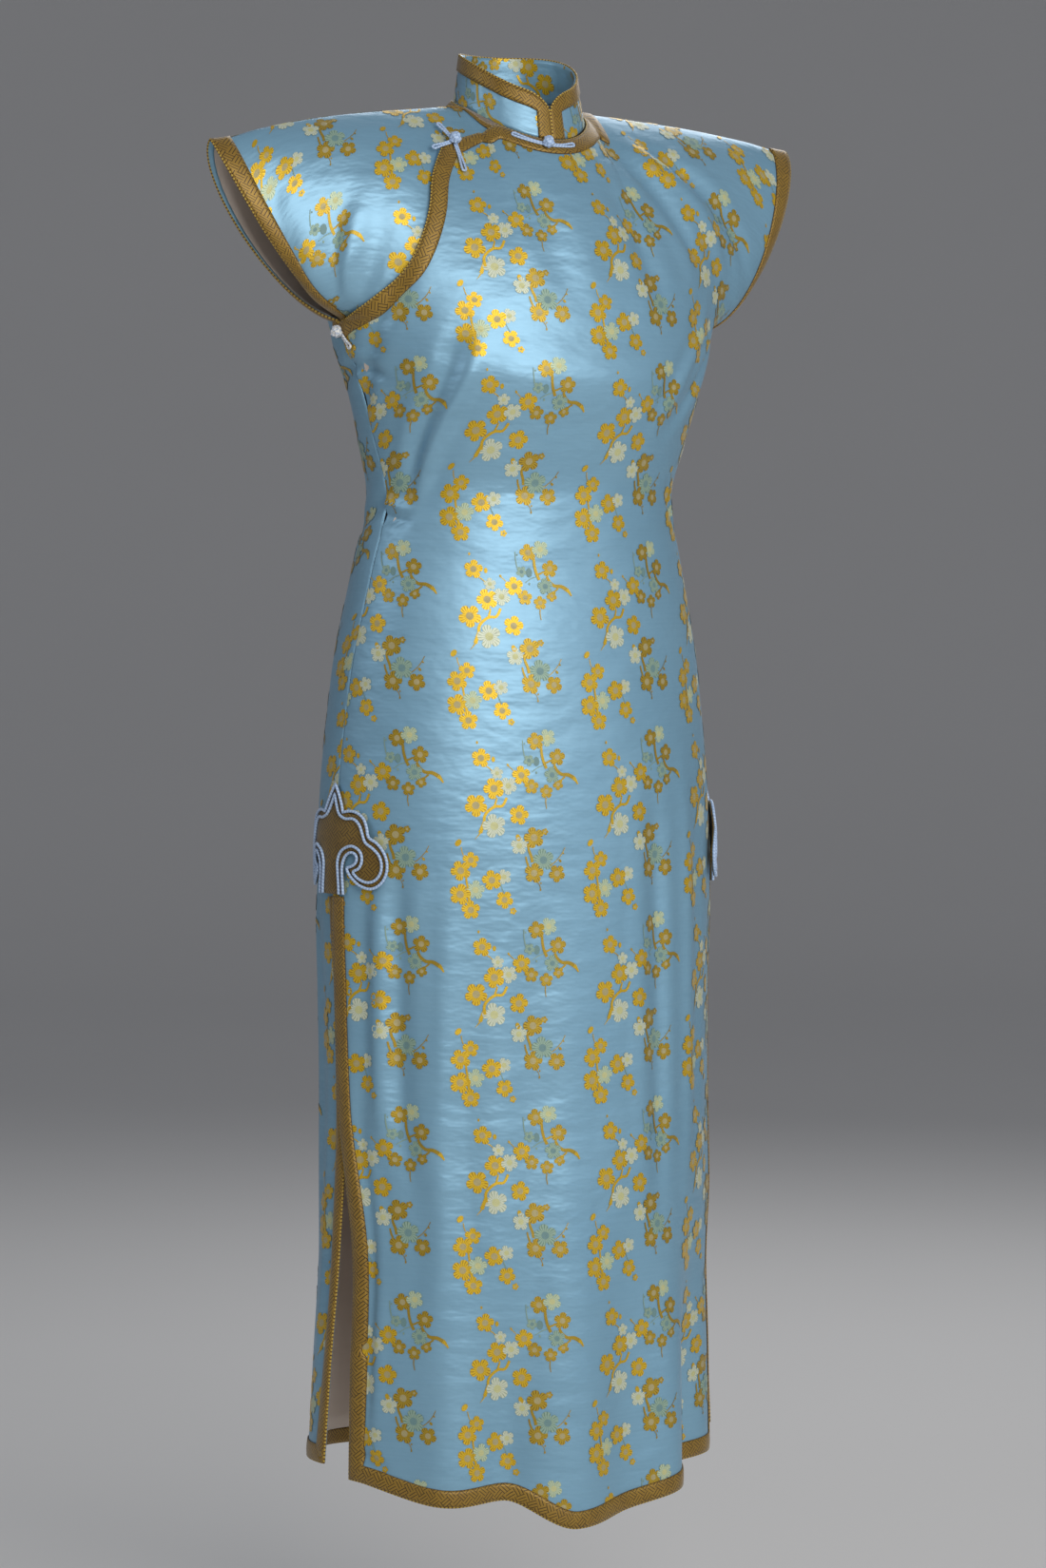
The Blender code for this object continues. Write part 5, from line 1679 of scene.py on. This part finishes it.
def build_collar_band(lifts, flat):
    """Binding up both front edges of the collar and along its rim."""
    count, rows = lifts.shape[:2]
    faces = []
    for number, face in enumerate(grid_faces(count, rows, False)):
        i, j = divmod(number, rows - 1)
        if j >= COLLAR_ROWS or i < COLLAR_BAND or i >= count - 1 - COLLAR_BAND:
            faces.append(face)
    used, faces = used_only(faces)
    mesh = mesh_from("collar_band", lifts.reshape(-1, 3)[used], faces,
                     flat.reshape(-1, 2)[used], [MATERIALS["gold_brocade"]])
    band = new_piece("collar_band", mesh)
    thicken(band, BINDING * 0.8, outside=True)
    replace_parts(band, "collar_binding")
    edge = [*lifts[0, :], *lifts[1:-1, -1], *lifts[-1, ::-1]]
    whipped("collar_band_roll", [Vector(p) for p in edge])
    first, last, row = COLLAR_BAND, -1 - COLLAR_BAND, COLLAR_ROWS
    inner = [*lifts[first, :row + 1], *lifts[first + 1:last, row], *lifts[last, row::-1]]
    stitched("collar_band_seam", [Vector(p) for p in inner])


# Clouds
def build_cloud(side, node):
    """Brocade cloud over a slit's top, with its two rows of cord."""
    name = "left_cloud" if side > 0 else "right_cloud"
    outline = cloud_path(CLOUD_OUTER)
    foot = outline[0]
    steps = math.ceil(2 * foot[0] / FINE_CELL)
    outline += [(foot[0] * (2 * k / steps - 1), foot[1]) for k in range(1, steps)]
    reach = math.ceil(CLOUD_REACH / FINE_CELL)
    grid = []
    for i in range(-reach, reach + 1):
        for j in range(1, 2 * reach):
            place = (i * FINE_CELL, j * FINE_CELL)
            if min(math.dist(place, corner) for corner in outline) > FINE_CELL / 2:
                grid.append(place)
    edges = [(k, (k + 1) % len(outline)) for k in range(len(outline))]
    filled = delaunay_2d_cdt([Vector(place) for place in outline + grid], edges, [], 1, 1e-6)
    points = [cloud_point(side, p[0], CLOUD_TOP + p[1], CLOUD_LIFT) for p in filled[0]]
    flat = [(p[0], -p[1]) for p in filled[0]]
    faces = [tuple(face) if side > 0 else tuple(reversed(face)) for face in filled[2]]
    used, faces = used_only(faces)
    mesh = mesh_from(name, [points[k] for k in used], faces,
                     [flat[k] for k in used], [MATERIALS["cloud_brocade"]])
    piece = new_piece(name, mesh)
    thicken(piece, BINDING, outside=True)
    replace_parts(piece, node)
    out = CLOUD_LIFT + BINDING + PIPING / 2
    for cord_name, table in (("outer", CLOUD_OUTER), ("inner", CLOUD_INNER)):
        path = smooth_path([(a, d, 0.0) for a, d in cloud_path(table)], 4)
        path = [cloud_point(side, p[0], CLOUD_TOP + p[1], out) for p in path]
        cord = cord_piece(f"{name}_{cord_name}_cord", path, PIPING / 2, "piping_cord")
        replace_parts(cord, f"{node}_{cord_name}_cord")


# Frog buttons
def build_knot(name, centre, material):
    """Round knot of one cord, wound over and under itself about a ball."""
    path = []
    ball = FROG_KNOT - KNOT_INSET
    for k in range(KNOT_STEPS):
        t = 2 * math.pi * k / KNOT_STEPS
        around = KNOT_TURNS * t
        rise = 1.05 * math.sin(KNOT_WAVES * t)
        reach = ball + 0.00035 * math.cos(2 * KNOT_WAVES * t + 0.6)
        ring = math.cos(rise)
        way = Vector((math.cos(around) * ring, math.sin(rise), math.sin(around) * ring))
        path.append(centre + way * reach)
    mesh = tube(name, path, KNOT_CORD, MATERIALS[material], 8, close=True)
    core = bmesh.new()
    bmesh.ops.create_uvsphere(core, u_segments=20, v_segments=12, radius=ball)
    bmesh.ops.translate(core, verts=core.verts, vec=centre)
    core.from_mesh(mesh)
    core.to_mesh(mesh)
    core.free()
    mesh.shade_smooth()
    return new_piece(name, mesh)


def build_arm(name, knot, end, out, material):
    """Cord laid out from the knot to the end and back, its bend spread like a small leaf."""
    length = (moved("front", *end, out) - moved("front", *knot, out)).length
    near = (FROG_KNOT - FROG_CORD * 0.6) / length
    centres = []
    for t in spread(near, 1.0, 12):
        share = knot[0] + (end[0] - knot[0]) * t
        level = knot[1] + (end[1] - knot[1]) * t
        centres.append((moved("front", share, level, out), cloth_normal("front", share, level), t))
    along = (centres[-1][0] - centres[-2][0]).normalized()
    strands = []
    for centre, normal, t in centres:
        spread_out = (t - near) / (1.0 - near)
        half = FROG_CORD * (0.46 + 0.34 * ease(spread_out * 1.6 - 0.6))
        strands.append((centre, along.cross(normal).normalized() * half))
    last, side = strands[-1]
    bend = []
    for turn in range(15, 180, 15):
        angle = math.radians(turn)
        bend.append(last + side * math.cos(angle) + along * side.length * math.sin(angle))
    path = [centre + half for centre, half in strands] + bend
    path += [centre - half for centre, half in reversed(strands)]
    return cord_piece(name, path, FROG_CORD / 2, material)


def build_frogs():
    """Three frog buttons, each a knot with its looped arms."""
    under = BAND_LIFT + BINDING + FROG_LIFT
    for frog, share, level, sink in FROG_KNOTS:
        material = "knot_cord" if frog == "underarm_frog" else "piping_cord"
        centre = moved("front", share, level, under + FROG_KNOT - sink)
        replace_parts(build_knot(f"{frog}_ball", centre, material), f"{frog}_knot")
        for of_frog, arm, end_share, end_level in FROG_ARMS:
            if of_frog == frog:
                piece = build_arm(f"{frog}_{arm}_cord", (share, level), (end_share, end_level),
                                  under + FROG_CORD / 2, material)
                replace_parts(piece, f"{frog}_{arm}")


# Stage
def build_stage():
    """Pale floor that sweeps up into a wall beyond the dress, and soft lights."""
    profile = [(along, FLOOR) for along in spread(-FLOOR_REACH, SWEEP_FROM, 40)]
    for turn in range(5, 91, 5):
        angle = math.radians(turn)
        profile.append((SWEEP_FROM + SWEEP_RADIUS * math.sin(angle),
                        FLOOR + SWEEP_RADIUS * (1 - math.cos(angle))))
    profile.append((SWEEP_FROM + SWEEP_RADIUS, FLOOR + WALL_TOP))
    turned = math.radians(VIEW_TURN)
    points = []
    strips = spread(-FLOOR_REACH, FLOOR_REACH, 48)
    for across in strips:
        for along, up in profile:
            points.append((math.sin(turned) * along + math.cos(turned) * across,
                           math.cos(turned) * along - math.sin(turned) * across, up))
    faces = grid_faces(len(strips), len(profile), False)
    nodes = Nodes("studio_floor")
    tone = nodes.noise(nodes.add("ShaderNodeTexCoord").outputs["Object"], 1.3, 2.0)
    floor_colour = tint("floor")
    nodes.link(nodes.mix(tone, tuple(0.97 * c for c in floor_colour), floor_colour), "Base Color")
    nodes.fixed(Roughness=0.9)
    mesh = mesh_from("floor", points, faces, None, [nodes.material])
    floor = bpy.data.objects.new("floor", mesh)
    bpy.context.scene.collection.objects.link(floor)
    for name, place, size, power, colour in LIGHTS:
        lamp = bpy.data.lights.new(name, "AREA")
        lamp.shape = "RECTANGLE"
        lamp.size, lamp.size_y = size
        lamp.energy = power
        lamp.color = colour
        light = bpy.data.objects.new(name, lamp)
        x, y, z = place
        light.location = (math.cos(turned) * x + math.sin(turned) * y,
                          -math.sin(turned) * x + math.cos(turned) * y, z)
        aim = Vector((0.0, 0.0, AIM_HEIGHT)) - light.location
        light.rotation_euler = aim.to_track_quat("-Z", "Y").to_euler()
        light.visible_camera = False
        bpy.context.scene.collection.objects.link(light)
    world = bpy.data.worlds.new("studio")
    world.use_nodes = True
    background = world.node_tree.nodes["Background"]
    background.inputs["Color"].default_value = AMBIENT_COLOUR
    background.inputs["Strength"].default_value = AMBIENT
    bpy.context.scene.world = world


def set_tone():
    """Plain tone curve, so that the silk keeps its colour."""
    view = bpy.context.scene.view_settings
    view.view_transform = "Standard"
    view.look = "None"
    view.exposure = EXPOSURE


def build_camera():
    turned = math.radians(VIEW_TURN)
    toward = Vector((math.sin(turned), math.cos(turned), 0.0))
    right = Vector((math.cos(turned), -math.sin(turned), 0.0))
    data = bpy.data.cameras.new("view")
    data.lens = LENS
    data.sensor_fit = "VERTICAL"
    data.sensor_height = SENSOR
    camera = bpy.data.objects.new("view", data)
    camera.location = -toward * VIEW_DISTANCE + right * VIEW_SHIFT
    camera.location.z = VIEW_HEIGHT
    camera.rotation_euler = (math.radians(90.0 - VIEW_PITCH), 0.0, -turned)
    bpy.context.scene.collection.objects.link(camera)
    bpy.context.scene.camera = camera


# Everything together
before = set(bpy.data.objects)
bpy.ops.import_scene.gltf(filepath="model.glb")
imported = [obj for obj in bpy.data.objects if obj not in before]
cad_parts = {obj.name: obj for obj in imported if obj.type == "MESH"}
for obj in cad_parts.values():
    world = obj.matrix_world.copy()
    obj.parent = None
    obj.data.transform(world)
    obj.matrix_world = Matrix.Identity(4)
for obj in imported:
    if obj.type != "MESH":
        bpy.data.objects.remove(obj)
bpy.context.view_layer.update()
FLAT = {half: Cut(half) for half in ("front", "back")}
FLAP_TOPS = [(name, top, up) for name, _low, top, up in FRONT_COLUMNS]
MATERIALS = {
    "satin": satin_material(),
    "gold_brocade": brocade_material("gold_brocade", 1.0),
    "cloud_brocade": brocade_material("cloud_brocade", 0.7),
    "piping_cord": cord_material("piping_cord", "cord light", "cord dark"),
    "knot_cord": cord_material("knot_cord", "knot light", "cord dark"),
    "lining_silk": lining_material(),
    "rolled_edge": edge_material(),
    "seam_thread": seam_material(),
}
for thread in THREADS:
    MATERIALS[thread[0]] = thread_material(*thread)

build_panels()
build_linings()
build_bindings()
build_collar()
build_cloud(-1, "cloud_right")
build_cloud(1, "cloud_left")
build_frogs()
build_stage()
build_camera()
set_tone()
